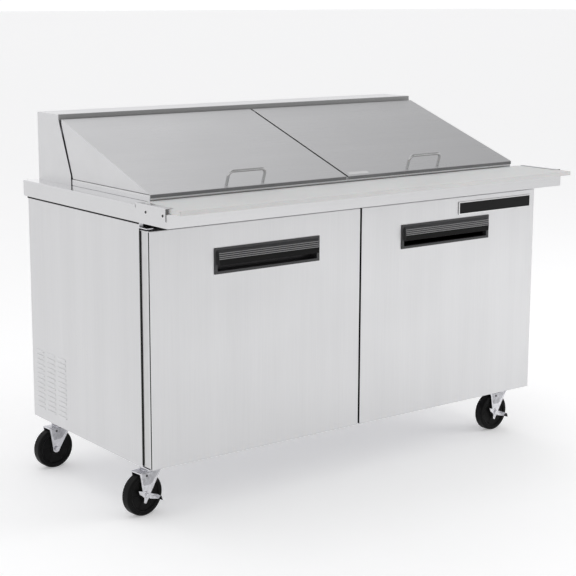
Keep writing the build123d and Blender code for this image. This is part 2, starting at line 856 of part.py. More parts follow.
def make_lid(name, side):
    """One folded lid: sloping top, side cheeks and front lip, with its core panel and handle."""
    outer_x = side * collar_half_width
    inner_x = side * lid_gap / 2
    top_section = [
        (lid_front_y, lid_height(lid_front_y)),
        (lid_rear_y, lid_height(lid_rear_y)),
        (lid_rear_y, lid_height(lid_rear_y, sheet)),
        (lid_front_y, lid_height(lid_front_y, sheet)),
    ]
    cheek_front_y = lid_front_y + (cheek_bottom - lid_height(lid_front_y, sheet)) / lid_slope
    cheek_section = [
        (cheek_front_y, cheek_bottom),
        (cheek_rear_y, cheek_bottom),
        (hinge_y + 2 * hinge_rod_radius - 1, hinge_z - 3),
        (lid_rear_y, lid_height(lid_rear_y, sheet)),
    ]
    low_x = min(outer_x, inner_x)
    width = abs(outer_x - inner_x)
    with BuildPart() as skin:
        extrude(outline(Plane.YZ.offset(low_x), top_section), amount=width)
        for cheek_x in (low_x, low_x + width - sheet):
            extrude(outline(Plane.YZ.offset(cheek_x), cheek_section), amount=sheet)
        span_box((outer_x, inner_x), (lid_front_y, lid_front_y + sheet), (lip_bottom, lid_front_top - 1))
        with Locations(Plane.YZ * Location((hinge_y, hinge_z, 0))):
            Cylinder(hinge_rod_radius + hinge_clearance, 4 * collar_half_width, mode=Mode.SUBTRACT)
    save(skin, f"{name}_lid_skin")
    core_front_y = collar_front_y + collar_wall + core_front_gap
    core_rear_y = hinge_y - core_rear_gap
    core_section = [
        (core_front_y, lid_height(core_front_y, sheet)),
        (core_rear_y, lid_height(core_rear_y, sheet)),
        (core_rear_y, lid_height(core_rear_y, sheet + lid_core_thickness)),
        (core_front_y, lid_height(core_front_y, sheet + lid_core_thickness)),
    ]
    core_side_gap = sheet + core_end_gap
    with BuildPart() as core:
        core_plane = Plane.YZ.offset(low_x + core_side_gap)
        extrude(outline(core_plane, core_section), amount=width - 2 * core_side_gap)
    save(core, f"{name}_lid_liner")
    normal = (0, -math.sin(lid_angle), math.cos(lid_angle))
    foot = (lid_handle_centres[name], lid_handle_foot_y, lid_height(lid_handle_foot_y))
    bar_plane = Plane(origin=foot, x_dir=(1, 0, 0), z_dir=(0, -normal[2], normal[1]))
    reach = (lid_handle_width - 2 * lid_handle_radius) / 2
    with BuildPart() as handle:
        with BuildLine(bar_plane) as bend:
            FilletPolyline(
                (-reach, 0),
                (-reach, lid_handle_height - lid_handle_radius),
                (reach, lid_handle_height - lid_handle_radius),
                (reach, 0),
                radius=lid_handle_bend,
            )
        with BuildSketch(Plane(origin=bend.line @ 0, z_dir=bend.line % 0)):
            Circle(lid_handle_radius)
        sweep()
    save(handle, f"{name}_lid_handle")


for name, side in sides.items():
    make_lid(name, side)

# ---- doors ----

skin_back_y = door_front_y + door_skin_depth
tray_front_y = skin_back_y + door_seam
tray_inset = 1.0
pull_proud = 3.0
pocket_half_width = pull_width / 2 - 8
pocket_bottom = pull_bottom + 6
pocket_top = pull_top - 6
pocket_rear_y = door_front_y + 34.0
pocket_wall = 2.0
pin_depth = 15.0
foam_pin_radius = 8.0
badge_x = (408.0, 735.0)
badge_z = (792.0, 833.0)
badge_thickness = 3.0
badge_chamfer = 1.0


def make_pull(name, centre_x):
    """Recessed grip: a flat frame on the skin, a pocket behind it and a ribbed lip to pull on."""
    frame_x = (centre_x - pull_width / 2, centre_x + pull_width / 2)
    pocket_x = (centre_x - pocket_half_width, centre_x + pocket_half_width)
    mouth_x = (pocket_x[0] + pocket_wall, pocket_x[1] - pocket_wall)
    face_y = door_front_y - pull_proud
    mouth_z = (pocket_bottom + pocket_wall, pocket_top - pocket_wall)
    lip_bottom_z = mouth_z[0] + 18
    bulge = [
        (face_y, pocket_top),
        (face_y - 7, pocket_top - 6),
        (face_y - 10, pocket_top - 22),
        (face_y - 9, lip_bottom_z),
    ]

    def bulge_y(z):
        """Front of the lip at height z, below its top bend."""
        upper, middle, lower = bulge[1:]
        start, end = (upper, middle) if z > middle[1] else (middle, lower)
        share = (start[1] - z) / (start[1] - end[1])
        return start[0] + share * (end[0] - start[0])

    ribs = []
    for rib in range(4):
        rib_z = bulge[1][1] - 3 - rib * 5.5
        for lift, proud in ((1.2, 0), (0.7, 1), (-0.7, 1), (-1.2, 0)):
            ribs.append((bulge_y(rib_z + lift) - proud, rib_z + lift))
    lip_back = [
        (face_y - 6, lip_bottom_z),
        (face_y - 7, pocket_top - 22),
        (face_y - 4, pocket_top - 9),
        (face_y + 2, pocket_top - 4),
        (face_y + 2, pocket_top - 1),
    ]
    lip_section = [*bulge[:2], *ribs, bulge[3], *lip_back]
    cap_section = [
        (face_y + 1, pocket_top - 2),
        (face_y - 6.4, pocket_top - 7),
        (face_y - 9.3, pocket_top - 22),
        (face_y - 8.4, lip_bottom_z + 1),
        (face_y + 1, lip_bottom_z + 1),
    ]
    cap_thickness = 4
    lip_x = (mouth_x[0] - 1, mouth_x[1] + 1)
    with BuildPart() as pull:
        span_box(frame_x, (face_y, door_front_y), (pull_bottom, pull_top))
        span_box(pocket_x, (face_y + 0.5, pocket_rear_y), (pocket_bottom, pocket_top))
        span_box(mouth_x, (face_y - 1, pocket_rear_y - pocket_wall), mouth_z, mode=Mode.SUBTRACT)
        extrude(outline(Plane.YZ.offset(lip_x[0]), lip_section), amount=lip_x[1] - lip_x[0])
        for cap_x in (lip_x[0], lip_x[1] - cap_thickness):
            extrude(outline(Plane.YZ.offset(cap_x), cap_section), amount=cap_thickness)
    save(pull, f"{name}_door_pull")


def make_door(name, side):
    """One door: front skin, rear tray, foam core, gasket and pull."""
    outer_x = side * door_half_span
    inner_x = side * door_gap / 2
    pin_x = side * door_hinge_x
    pocket_x = (
        side * (pull_centre_x - pocket_half_width),
        side * (pull_centre_x + pocket_half_width),
    )
    pocket_y = (door_front_y - 1, pocket_rear_y)
    pocket_z = (pocket_bottom, pocket_top)
    with BuildPart() as skin:
        span_box((outer_x, inner_x), (door_front_y, skin_back_y), (door_bottom, door_top))
        span_box(
            (outer_x - side * sheet, inner_x + side * sheet),
            (door_front_y + sheet, skin_back_y + 1),
            (door_bottom + sheet, door_top - sheet),
            mode=Mode.SUBTRACT,
        )
        span_box(pocket_x, pocket_y, pocket_z, mode=Mode.SUBTRACT)
    save(skin, f"{name}_door_skin")
    tray_x = (outer_x - side * tray_inset, inner_x + side * tray_inset)
    tray_z = (door_bottom + tray_inset, door_top - tray_inset)
    with BuildPart() as tray:
        span_box(tray_x, (tray_front_y, door_back_y), tray_z)
        span_box(
            (tray_x[0] - side * sheet, tray_x[1] + side * sheet),
            (tray_front_y - 1, door_back_y - sheet),
            (tray_z[0] + sheet, tray_z[1] - sheet),
            mode=Mode.SUBTRACT,
        )
        for pin_z in (tray_z[0], tray_z[1]):
            with Locations((pin_x, door_hinge_y, pin_z)):
                Cylinder(hinge_pin_radius + running_gap, 4 * sheet, mode=Mode.SUBTRACT)
    save(tray, f"{name}_door_liner")
    core_x = (tray_x[0] - side * sheet, tray_x[1] + side * sheet)
    core_z = (tray_z[0] + sheet, tray_z[1] - sheet)
    with BuildPart() as core:
        span_box(core_x, (door_front_y + sheet, door_back_y - sheet), core_z)
        span_box(pocket_x, pocket_y, pocket_z, mode=Mode.SUBTRACT)
        for pin_z in core_z:
            with Locations((pin_x, door_hinge_y, pin_z)):
                Cylinder(foam_pin_radius, 2 * pin_depth, mode=Mode.SUBTRACT)
    save(core, f"{name}_door_foam")
    seal_x = (outer_x - side * gasket_hinge_inset, inner_x + side * gasket_inset)
    seal_z = (door_bottom + gasket_inset, door_top - gasket_inset)
    with BuildPart() as gasket:
        span_box(seal_x, (door_back_y, front_y), seal_z)
        span_box(
            (seal_x[0] - side * gasket_width, seal_x[1] + side * gasket_width),
            (door_back_y - 1, front_y + 1),
            (seal_z[0] + gasket_width, seal_z[1] - gasket_width),
            mode=Mode.SUBTRACT,
        )
    save(gasket, f"{name}_door_gasket")
    make_pull(name, side * pull_centre_x)


for name, side in sides.items():
    make_door(name, side)

with BuildPart() as badge_plate:
    span_box(badge_x, (door_front_y - badge_thickness, door_front_y), badge_z)
    chamfer(badge_plate.faces().sort_by(Axis.Y)[0].edges(), length=badge_chamfer)
save(badge_plate, "badge_plate")

hinge_leaf = 3.0
hinge_leg_height = 40.0
hinge_leg_x = (754.0, 742.0)
hinge_arm_x = (757.0, 736.0)
hinge_arm_front_y = door_hinge_y - 12.0
upper_arm_bottom = door_top + 3.0
lower_arm_bottom = cabinet_bottom + sheet + 0.8
upper_arm_z = (upper_arm_bottom, upper_arm_bottom + hinge_leaf)
lower_arm_z = (lower_arm_bottom, lower_arm_bottom + hinge_leaf)

with BuildPart() as door_hinges:
    for side in sides.values():
        leg_x = (side * hinge_leg_x[0], side * hinge_leg_x[1])
        arm_x = (side * hinge_arm_x[0], side * hinge_arm_x[1])
        arm_y = (hinge_arm_front_y, front_y)
        leg_y = (front_y - hinge_leaf, front_y)
        span_box(leg_x, leg_y, (upper_arm_z[0], upper_arm_z[1] + hinge_leg_height))
        span_box(arm_x, arm_y, upper_arm_z)
        span_box(leg_x, leg_y, (lower_arm_z[0], lower_arm_z[1] + hinge_leg_height))
        span_box(arm_x, arm_y, lower_arm_z)
        pin_at = (side * door_hinge_x, door_hinge_y)
        upper_pin_z = (door_top - pin_depth, upper_arm_z[0])
        lower_pin_z = (lower_arm_z[1], door_bottom + pin_depth)
        for pin_z in (upper_pin_z, lower_pin_z):
            with Locations((*pin_at, (pin_z[0] + pin_z[1]) / 2)):
                Cylinder(hinge_pin_radius, pin_z[1] - pin_z[0])
save(door_hinges, "door_hinges")

# ---- casters ----

plate_thickness = 3.0
plate_size = (60.0, 92.0)
plate_bottom = cabinet_bottom - plate_thickness
bolt_grid = (42.0, 74.0)
bolt_radius = 3.5
bolt_head_radius = 6.0
bolt_head_height = 4.0
kingpin_bottom = 126.0
kingpin_head_top = 128.5
crown_radius = 27.0
crown_bottom = 133.0
crown_top = plate_bottom - 0.3
fork_top = 133.0
fork_plate_bottom = 129.5
leg_top_u = (-27.0, 53.0)
leg_end_radius = 12.0
leg_end_drop = 4.0
kingpin_head_radius = kingpin_radius + 4.0
kingpin_head_gap = 1.0
axle_head_radius = 8.0
axle_head_height = 4.0
brake_plate_gap = 0.3
brake_thickness = 2.5
brake_hub_radius = 12.0
toe_reach = 18.0

with BuildPart() as caster_plates:
    for swivel_x, swivel_y, *_ in casters.values():
        plate_x = (swivel_x - plate_size[0] / 2, swivel_x + plate_size[0] / 2)
        plate_y = (swivel_y - plate_size[1] / 2, swivel_y + plate_size[1] / 2)
        span_box(plate_x, plate_y, (plate_bottom, cabinet_bottom))
        with Locations((swivel_x, swivel_y, (kingpin_bottom + plate_bottom) / 2)):
            Cylinder(kingpin_radius, plate_bottom - kingpin_bottom)
        with Locations((swivel_x, swivel_y, (kingpin_bottom + kingpin_head_top) / 2)):
            Cylinder(kingpin_head_radius, kingpin_head_top - kingpin_bottom)
        with Locations((swivel_x, swivel_y, plate_bottom - bolt_head_height / 2)):
            with GridLocations(*bolt_grid, 2, 2):
                Cylinder(bolt_head_radius, bolt_head_height)
save(caster_plates, "caster_plates")


def caster_plane(swivel_x, swivel_y, heading):
    """Plane at a caster's swivel on the floor, its X axis pointing from the swivel to the axle."""
    turn = math.radians(heading)
    return Plane(origin=(swivel_x, swivel_y, 0), x_dir=(math.cos(turn), math.sin(turn), 0), z_dir=(0, 0, 1))


def axle_plane(swivel_x, swivel_y, heading):
    """Plane across a caster's axle: X towards the trailing side, Y up, Z along the axle."""
    turn = math.radians(heading)
    along = (math.cos(turn), math.sin(turn), 0)
    axle_at = (
        swivel_x + caster_trail * along[0],
        swivel_y + caster_trail * along[1],
        wheel_radius,
    )
    return Plane(origin=axle_at, x_dir=along, z_dir=(along[1], -along[0], 0))


def make_fork(label, swivel_x, swivel_y, heading):
    """Swivel fork: raceway crown, bridge plate and two tapering legs, with the axle bolt."""
    axle = axle_plane(swivel_x, swivel_y, heading)
    leg_outline = [
        (leg_top_u[0] - caster_trail, fork_top - wheel_radius),
        (leg_top_u[1] - caster_trail, fork_top - wheel_radius),
        (leg_end_radius - 1, -leg_end_drop),
        (1 - leg_end_radius, -leg_end_drop),
    ]
    half_gap = fork_gap / 2
    with BuildPart(caster_plane(swivel_x, swivel_y, heading)) as fork:
        with Locations((0, 0, (crown_bottom + crown_top) / 2)):
            Cylinder(crown_radius, crown_top - crown_bottom)
        with Locations(((leg_top_u[0] + leg_top_u[1]) / 2, 0, (fork_top + fork_plate_bottom) / 2)):
            Box(leg_top_u[1] - leg_top_u[0], fork_gap + 2 * fork_plate, fork_top - fork_plate_bottom)
        for leg_at in (-half_gap - fork_plate, half_gap):
            extrude(outline(axle.offset(leg_at), leg_outline), amount=fork_plate)
            extrude(disc(axle.offset(leg_at), leg_end_radius), amount=fork_plate)
        with Locations((0, 0, (crown_bottom + crown_top) / 2)):
            Cylinder(kingpin_radius + running_gap, 2 * crown_top, mode=Mode.SUBTRACT)
        head_room_z = fork_plate_bottom - fork_plate
        with Locations((0, 0, head_room_z)):
            Cylinder(kingpin_head_radius + kingpin_head_gap, 2 * fork_plate, mode=Mode.SUBTRACT)
        bore = disc(axle.offset(-wheel_width), axle_radius)
        extrude(bore, amount=2 * wheel_width, mode=Mode.SUBTRACT)
    head_gap = brake_plate_gap * 2 + brake_thickness
    bolt_reach = half_gap + fork_plate + head_gap
    with BuildPart() as bolt:
        extrude(disc(axle.offset(-bolt_reach), axle_radius), amount=2 * bolt_reach)
        for head_at in (-bolt_reach - axle_head_height, bolt_reach):
            with BuildSketch(axle.offset(head_at)):
                RegularPolygon(axle_head_radius, 6)
            extrude(amount=axle_head_height)
    pieces = Compound(children=[fork.part.solid(), bolt.part.solid()])
    pieces.label = label
    export_step(pieces, f"parts/{label}.step")


hub_radius = 18.0
hub_proud = 1.5
hub_edge = hub_radius + 2.0
dish_depth = 4.0
dish_radius = 46.0
wall_radius = 49.0
tread_round = 6.0


def make_wheel(label, swivel_x, swivel_y, heading):
    """Rubber wheel with a rounded tread, dished sides and a bored hub."""
    axle = axle_plane(swivel_x, swivel_y, heading)
    half = wheel_width / 2
    bore = axle_radius + running_gap
    hub_face = half + hub_proud
    dish = half - dish_depth
    shoulder = wheel_radius - tread_round
    spin_plane = Plane(origin=axle.origin, x_dir=axle.x_dir, z_dir=axle.y_dir)
    with BuildPart() as wheel:
        with BuildSketch(spin_plane):
            with BuildLine():
                Polyline(
                    (bore, hub_face),
                    (hub_radius, hub_face),
                    (hub_edge, dish),
                    (dish_radius, dish),
                    (wall_radius, half),
                    (shoulder, half),
                )
                JernArc((shoulder, half), (1, 0), radius=tread_round, arc_size=-90)
                Line((wheel_radius, half - tread_round), (wheel_radius, tread_round - half))
                JernArc((wheel_radius, tread_round - half), (0, -1), radius=tread_round, arc_size=-90)
                Polyline(
                    (shoulder, -half),
                    (wall_radius, -half),
                    (dish_radius, -dish),
                    (hub_edge, -dish),
                    (hub_radius, -hub_face),
                    (bore, -hub_face),
                    (bore, hub_face),
                )
            make_face()
        revolve(axis=Axis(axle.origin, axle.z_dir))
    save(wheel, label)


def make_brake(label, swivel_x, swivel_y, heading):
    """Side brake: a three-lobed plate on the axle with a toe tongue turned outwards."""
    axle = axle_plane(swivel_x, swivel_y, heading)
    near = fork_gap / 2 + fork_plate + brake_plate_gap
    face = axle.offset(-near - brake_thickness)
    tongue = [(-6, 6), (-41, -7), (-45, -21), (-10, -12)]
    rear_lobe = [(-3, 9), (31, 20), (26, 8), (6, -7)]
    low_lobe = [(-7, -5), (4, -24), (12, -20), (9, 3)]
    toe = [(-39, -6.3), (-41, -7), (-45, -21), (-42.7, -20.3)]
    with BuildPart() as brake:
        extrude(disc(face, brake_hub_radius), amount=brake_thickness)
        for lobe in (tongue, rear_lobe, low_lobe):
            extrude(outline(face, lobe), amount=brake_thickness)
        extrude(outline(face, toe), amount=-toe_reach)
        bore = disc(face.offset(-1), axle_radius + running_gap)
        extrude(bore, amount=brake_thickness + 2, mode=Mode.SUBTRACT)
    save(brake, label)


for place, (swivel_x, swivel_y, heading, braked) in casters.items():
    make_fork(f"{place}_fork", swivel_x, swivel_y, heading)
    make_wheel(f"{place}_wheel", swivel_x, swivel_y, heading)
    if braked:
        make_brake(f"{place}_brake", swivel_x, swivel_y, heading)
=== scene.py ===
"""Looks of a refrigerated sandwich prep table: brushed steel skins, black pulls, casters and what is inside.

Everything is in metres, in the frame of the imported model, and every piece rides on one of its bodies.
"""

import json
import math

import bmesh
import bpy
from mathutils import Matrix, Vector


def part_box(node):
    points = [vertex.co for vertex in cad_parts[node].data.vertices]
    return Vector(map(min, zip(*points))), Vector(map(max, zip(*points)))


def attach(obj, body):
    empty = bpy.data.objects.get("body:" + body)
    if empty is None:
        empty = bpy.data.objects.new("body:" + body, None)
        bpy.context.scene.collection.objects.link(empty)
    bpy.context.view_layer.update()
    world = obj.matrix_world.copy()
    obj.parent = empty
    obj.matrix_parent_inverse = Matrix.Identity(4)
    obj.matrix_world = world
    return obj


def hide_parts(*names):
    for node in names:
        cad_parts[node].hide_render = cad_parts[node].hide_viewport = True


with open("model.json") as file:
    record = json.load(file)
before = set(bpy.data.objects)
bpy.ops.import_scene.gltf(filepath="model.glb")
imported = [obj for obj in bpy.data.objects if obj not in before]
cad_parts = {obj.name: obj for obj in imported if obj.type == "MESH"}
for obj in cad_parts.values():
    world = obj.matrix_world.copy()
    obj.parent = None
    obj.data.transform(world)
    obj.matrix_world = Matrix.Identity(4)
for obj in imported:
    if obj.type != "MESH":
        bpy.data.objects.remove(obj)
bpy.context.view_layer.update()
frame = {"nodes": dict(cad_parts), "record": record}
record = frame["record"]
body_of = {node: body for body, names in record["behaviour"]["bodies"].items() for node in names}
slot_of = {part["node"]: part["material_slot"] for part in record["subparts"]}
mm = 0.001

# ---- camera ----

camera_place = Vector((-2.792, -3.567, 1.476))
camera_yaw = math.radians(36.3)
camera_pitch = math.radians(-10.4)
frame_width_px = 576
camera_focal_px = 1427
camera_shift = (0.048, -0.048)


def make_camera():
    """The main view: from the front left, a little above the worktop, with a long lens."""
    data = bpy.data.cameras.new("main_camera")
    data.sensor_width = 36.0
    data.lens = data.sensor_width * camera_focal_px / frame_width_px
    data.shift_x, data.shift_y = camera_shift
    data.clip_end = 400.0
    camera = bpy.data.objects.new("main_camera", data)
    camera.location = camera_place
    camera.rotation_euler = (math.pi / 2 + camera_pitch, 0, -camera_yaw)
    bpy.context.scene.collection.objects.link(camera)
    bpy.context.scene.camera = camera


make_camera()

# ---- studio ----

floor_size = 300.0
floor_glow = 0.25
world_strength = 1.4
world_tint = 1.01
horizon_level = 1.03
# Sines of the elevations between which the band at the horizon passes into the upper walls.
band_end, walls_start = 0.22, 0.42
# (share of the turn, brightness): -X is 0 and 1, -Y 0.25, +X 0.5 and +Y 0.75.
wall_levels = (
    (0.0, 0.85), (0.12, 0.72), (0.25, 0.42), (0.34, 0.45), (0.42, 0.62),
    (0.52, 0.36), (0.585, 0.34), (0.66, 1.12), (0.78, 0.95), (1.0, 0.85),
)
band_levels = (
    (0.0, horizon_level), (0.20, horizon_level), (0.29, 0.30), (0.33, 0.22), (0.36, 0.60),
    (0.40, 1.25), (0.45, 1.10), (0.52, horizon_level), (1.0, horizon_level),
)


def turn_share(tree, split):
    """The share of the turn at which a direction points."""
    angle = tree.nodes.new("ShaderNodeMath")
    angle.operation = "ARCTAN2"
    tree.links.new(split.outputs["Y"], angle.inputs[0])
    tree.links.new(split.outputs["X"], angle.inputs[1])
    around = tree.nodes.new("ShaderNodeMapRange")
    around.inputs["From Min"].default_value = -math.pi
    around.inputs["From Max"].default_value = math.pi
    tree.links.new(angle.outputs[0], around.inputs["Value"])
    return around.outputs[0]


def azimuth_ramp(tree, around, levels):
    """Brightness by share of the turn."""
    ramp = tree.nodes.new("ShaderNodeValToRGB")
    ramp.color_ramp.interpolation = "B_SPLINE"
    stops = ramp.color_ramp.elements
    while len(stops) < len(levels):
        stops.new(0.5)
    for stop, (place, level) in zip(stops, levels):
        share = level / world_strength
        stop.position = place
        stop.color = (share, share, share * world_tint, 1)
    tree.links.new(around, ramp.inputs["Fac"])
    return ramp.outputs["Color"]


def make_world():
    """A pale studio: a band at the horizon and walls above it, whose brightness differs all round."""
    world = bpy.data.worlds.new("studio")
    bpy.context.scene.world = world
    world.use_nodes = True
    tree = world.node_tree
    background = tree.nodes["Background"]
    coords = tree.nodes.new("ShaderNodeTexCoord")
    split = tree.nodes.new("ShaderNodeSeparateXYZ")
    tree.links.new(coords.outputs["Generated"], split.inputs[0])
    around = turn_share(tree, split)
    height = tree.nodes.new("ShaderNodeMapRange")
    height.interpolation_type = "SMOOTHSTEP"
    height.inputs["From Min"].default_value = band_end
    height.inputs["From Max"].default_value = walls_start
    tree.links.new(split.outputs["Z"], height.inputs["Value"])
    mixed = tree.nodes.new("ShaderNodeMix")
    mixed.data_type = "RGBA"
    tree.links.new(height.outputs[0], mixed.inputs[0])
    tree.links.new(azimuth_ramp(tree, around, band_levels), mixed.inputs[6])
    tree.links.new(azimuth_ramp(tree, around, wall_levels), mixed.inputs[7])
    tree.links.new(mixed.outputs[2], background.inputs["Color"])
    background.inputs["Strength"].default_value = world_strength


def make_area_light(name, place, aim, size, power):
    """A large soft lamp at a place, pointing at another, that neither the camera nor reflections see."""
    data = bpy.data.lights.new(name, "AREA")
    data.shape = "RECTANGLE"
    data.size, data.size_y = size
    data.energy = power
    lamp = bpy.data.objects.new(name, data)
    lamp.location = place
    lamp.rotation_euler = (Vector(aim) - Vector(place)).to_track_quat("-Z", "Y").to_euler()
    lamp.visible_glossy = False
    lamp.visible_camera = False
    bpy.context.scene.collection.objects.link(lamp)


make_world()
lamp_aim = (0, 0, 0.6)
make_area_light("top_light", (0.0, -0.4, 4.2), lamp_aim, (3.6, 2.6), 20)
make_area_light("right_light", (4.2, -2.6, 2.6), lamp_aim, (2.6, 2.4), 55)

# ---- materials ----


class Shader:
    """A Principled material under construction."""

    def __init__(self, name, **constants):
        self.material = bpy.data.materials.new(name)
        self.material.use_nodes = True
        self.tree = self.material.node_tree
        self.surface = self.tree.nodes["Principled BSDF"]
        self.coords = self.add("ShaderNodeTexCoord").outputs["Object"]
        for socket, value in constants.items():
            self.surface.inputs[socket.replace("_", " ")].default_value = value

    def add(self, kind, inputs=(), **settings):
        """A node with its settings, its inputs given as (socket, value or link)."""
        node = self.tree.nodes.new(kind)
        for key, value in settings.items():
            setattr(node, key, value)
        for socket, value in inputs:
            if isinstance(value, bpy.types.NodeSocket):
                self.tree.links.new(value, node.inputs[socket])
            else:
                node.inputs[socket].default_value = value
        return node

    def link(self, output, socket):
        self.tree.links.new(output, self.surface.inputs[socket])

    def noise(self, scale, detail=2.0, stretch=(1, 1, 1)):
        """A noise pattern of so many cells a metre, stretched along the axes."""
        mapped = self.add("ShaderNodeMapping", [("Vector", self.coords), ("Scale", stretch)])
        node = self.add(
            "ShaderNodeTexNoise",
            [("Vector", mapped.outputs[0]), ("Scale", scale), ("Detail", detail)],
        )
        return node.outputs["Fac"]

    def span(self, value, low, high, start=0.3, end=0.7):
        """A pattern brought from start..end to low..high."""
        node = self.add(
            "ShaderNodeMapRange",
            [("Value", value), ("From Min", start), ("From Max", end), ("To Min", low), ("To Max", high)],
        )
        return node.outputs["Result"]

    def mix(self, share, first, second):
        """Two colours mixed by a share."""
        return self.add("ShaderNodeMix", [(0, share), (6, first), (7, second)], data_type="RGBA").outputs[2]

    def combine(self, first, second, operation="ADD"):
        """Two values added, or brought together by another operation."""
        return self.add("ShaderNodeMath", [(0, first), (1, second)], operation=operation).outputs[0]

    def bump(self, height, strength, distance):
        node = self.add(
            "ShaderNodeBump", [("Height", height), ("Strength", strength), ("Distance", distance)]
        )
        self.link(node.outputs["Normal"], "Normal")


def grey(level, blue=1.0):
    return (level, level, level * blue, 1)


steel_tint = 1.01
streak_cells = 1400
worn_steel = 0.84


def brushed_steel(name, grain, light, dark, rough):
    """Brushed sheet: fine streaks along one axis, faint soft bands and faint smudges."""
    shader = Shader(name, Metallic=1.0)
    along = {"x": (0.006, 1, 1), "y": (1, 0.006, 1), "z": (1, 1, 0.006)}[grain]
    band_along = {"x": (0.02, 1, 1), "y": (1, 0.02, 1), "z": (1, 1, 0.02)}[grain]
    fine = shader.noise(streak_cells, 4.0, along)
    bands = shader.noise(14, 1.0, band_along)
    smudges = shader.noise(4, 4.0)
    threads = shader.noise(230, 3.0, band_along)
    weave = shader.combine(shader.span(bands, 0.0, 0.30), shader.span(threads, 0.0, 0.25))
    pattern = shader.combine(shader.span(fine, 0.0, 0.45), weave)
    colour = shader.mix(pattern, grey(dark, steel_tint), grey(light, steel_tint))
    worn = shader.add("ShaderNodeAttribute", attribute_name="edge").outputs["Fac"]
    colour = shader.mix(shader.combine(worn, 0.35, "MULTIPLY"), colour, grey(worn_steel))
    shader.link(colour, "Base Color")
    shader.link(shader.combine(shader.span(fine, *rough), shader.span(smudges, -0.02, 0.04)), "Roughness")
    shader.bump(fine, 0.16, 0.02 * mm)
    return shader.material


def plain_metal(name, light, dark, rough, cells=60, tint=1.0):
    """Plated or cast metal: a fine mottled grain with worn bright edges."""
    shader = Shader(name, Metallic=1.0)
    grain = shader.noise(cells, 4.0)
    speckle = shader.noise(cells * 12, 2.0)
    colour = shader.mix(shader.span(grain, 0, 1), grey(dark, tint), grey(light, tint))
    worn = shader.add("ShaderNodeAttribute", attribute_name="edge").outputs["Fac"]
    colour = shader.mix(shader.combine(worn, 0.4, "MULTIPLY"), colour, grey(min(1.0, light * 1.25)))
    shader.link(colour, "Base Color")
    shader.link(shader.span(speckle, rough[0], rough[1]), "Roughness")
    shader.bump(speckle, 0.1, 0.05 * mm)
    return shader.material


def coloured_metal(name, light, dark, rough, cells=60):
    """Copper or brass: darker blotches of oxide on a bright metal."""
    shader = Shader(name, Metallic=1.0)
    grain = shader.noise(cells, 5.0)
    shader.link(shader.mix(shader.span(grain, 0, 1), dark, light), "Base Color")
    shader.link(shader.span(grain, rough[1], rough[0]), "Roughness")
    shader.bump(shader.noise(cells * 12), 0.1, 0.05 * mm)
    return shader.material


def moulded(name, light, dark, rough, cells=300, bump=0.25, **constants):
    """Moulded plastic or rubber: a fine pebbled grain and soft variation in tone."""
    shader = Shader(name, **constants)
    pebble = shader.noise(cells * 6, 2.0)
    cloud = shader.noise(12, 3.0)
    colour = shader.mix(shader.span(cloud, 0, 1), dark, light)
    worn = shader.add("ShaderNodeAttribute", attribute_name="edge").outputs["Fac"]
    bright = tuple(min(1.0, c * 1.35 + 0.01) for c in light[:3]) + (1,)
    colour = shader.mix(shader.combine(worn, 0.6, "MULTIPLY"), colour, bright)
    shader.link(colour, "Base Color")
    shader.link(shader.combine(shader.span(pebble, 0, 0.06), shader.span(cloud, *rough)), "Roughness")
    shader.bump(pebble, bump, 0.05 * mm)
    return shader.material


def painted_shade_lip(name, level):
    """One even dark tone for the hood's lip. It imitates shade in the photograph."""
    shader = Shader(name)
    fine = shader.noise(streak_cells, 3.0, (0.006, 1, 1))
    colour = shader.mix(shader.span(fine, 0.0, 0.25), grey(level), grey(0.3))
    shader.link(colour, "Base Color")
    shader.link(shader.span(fine, 0.30, 0.42), "Roughness")
    return shader.material


def board_plastic(name):
    """White cutting board: a milky body, a fine milled grain and faint knife marks across it."""
    shader = Shader(name, Subsurface_Weight=0.05)
    cloud = shader.noise(9, 3.0)
    colour = shader.mix(shader.span(cloud, 0, 1), (0.60, 0.605, 0.60, 1), (0.64, 0.645, 0.64, 1))
    cuts = shader.noise(420, 1.0, (1, 0.03, 1))
    patches = shader.noise(7, 2.0)
    marks = shader.combine(
        shader.span(cuts, 0.0, 1.0, 0.70, 0.76), shader.span(patches, 0.0, 1.0, 0.45, 0.65), "MULTIPLY"
    )
    colour = shader.mix(shader.combine(marks, 0.35, "MULTIPLY"), colour, (0.46, 0.46, 0.45, 1))
    shader.link(colour, "Base Color")
    shader.link(shader.span(cloud, 0.42, 0.52), "Roughness")
    grain = shader.noise(1500, 2.0)
    shader.bump(shader.combine(shader.combine(grain, 0.3, "MULTIPLY"), marks, "SUBTRACT"), 0.25, 0.08 * mm)
    return shader.material


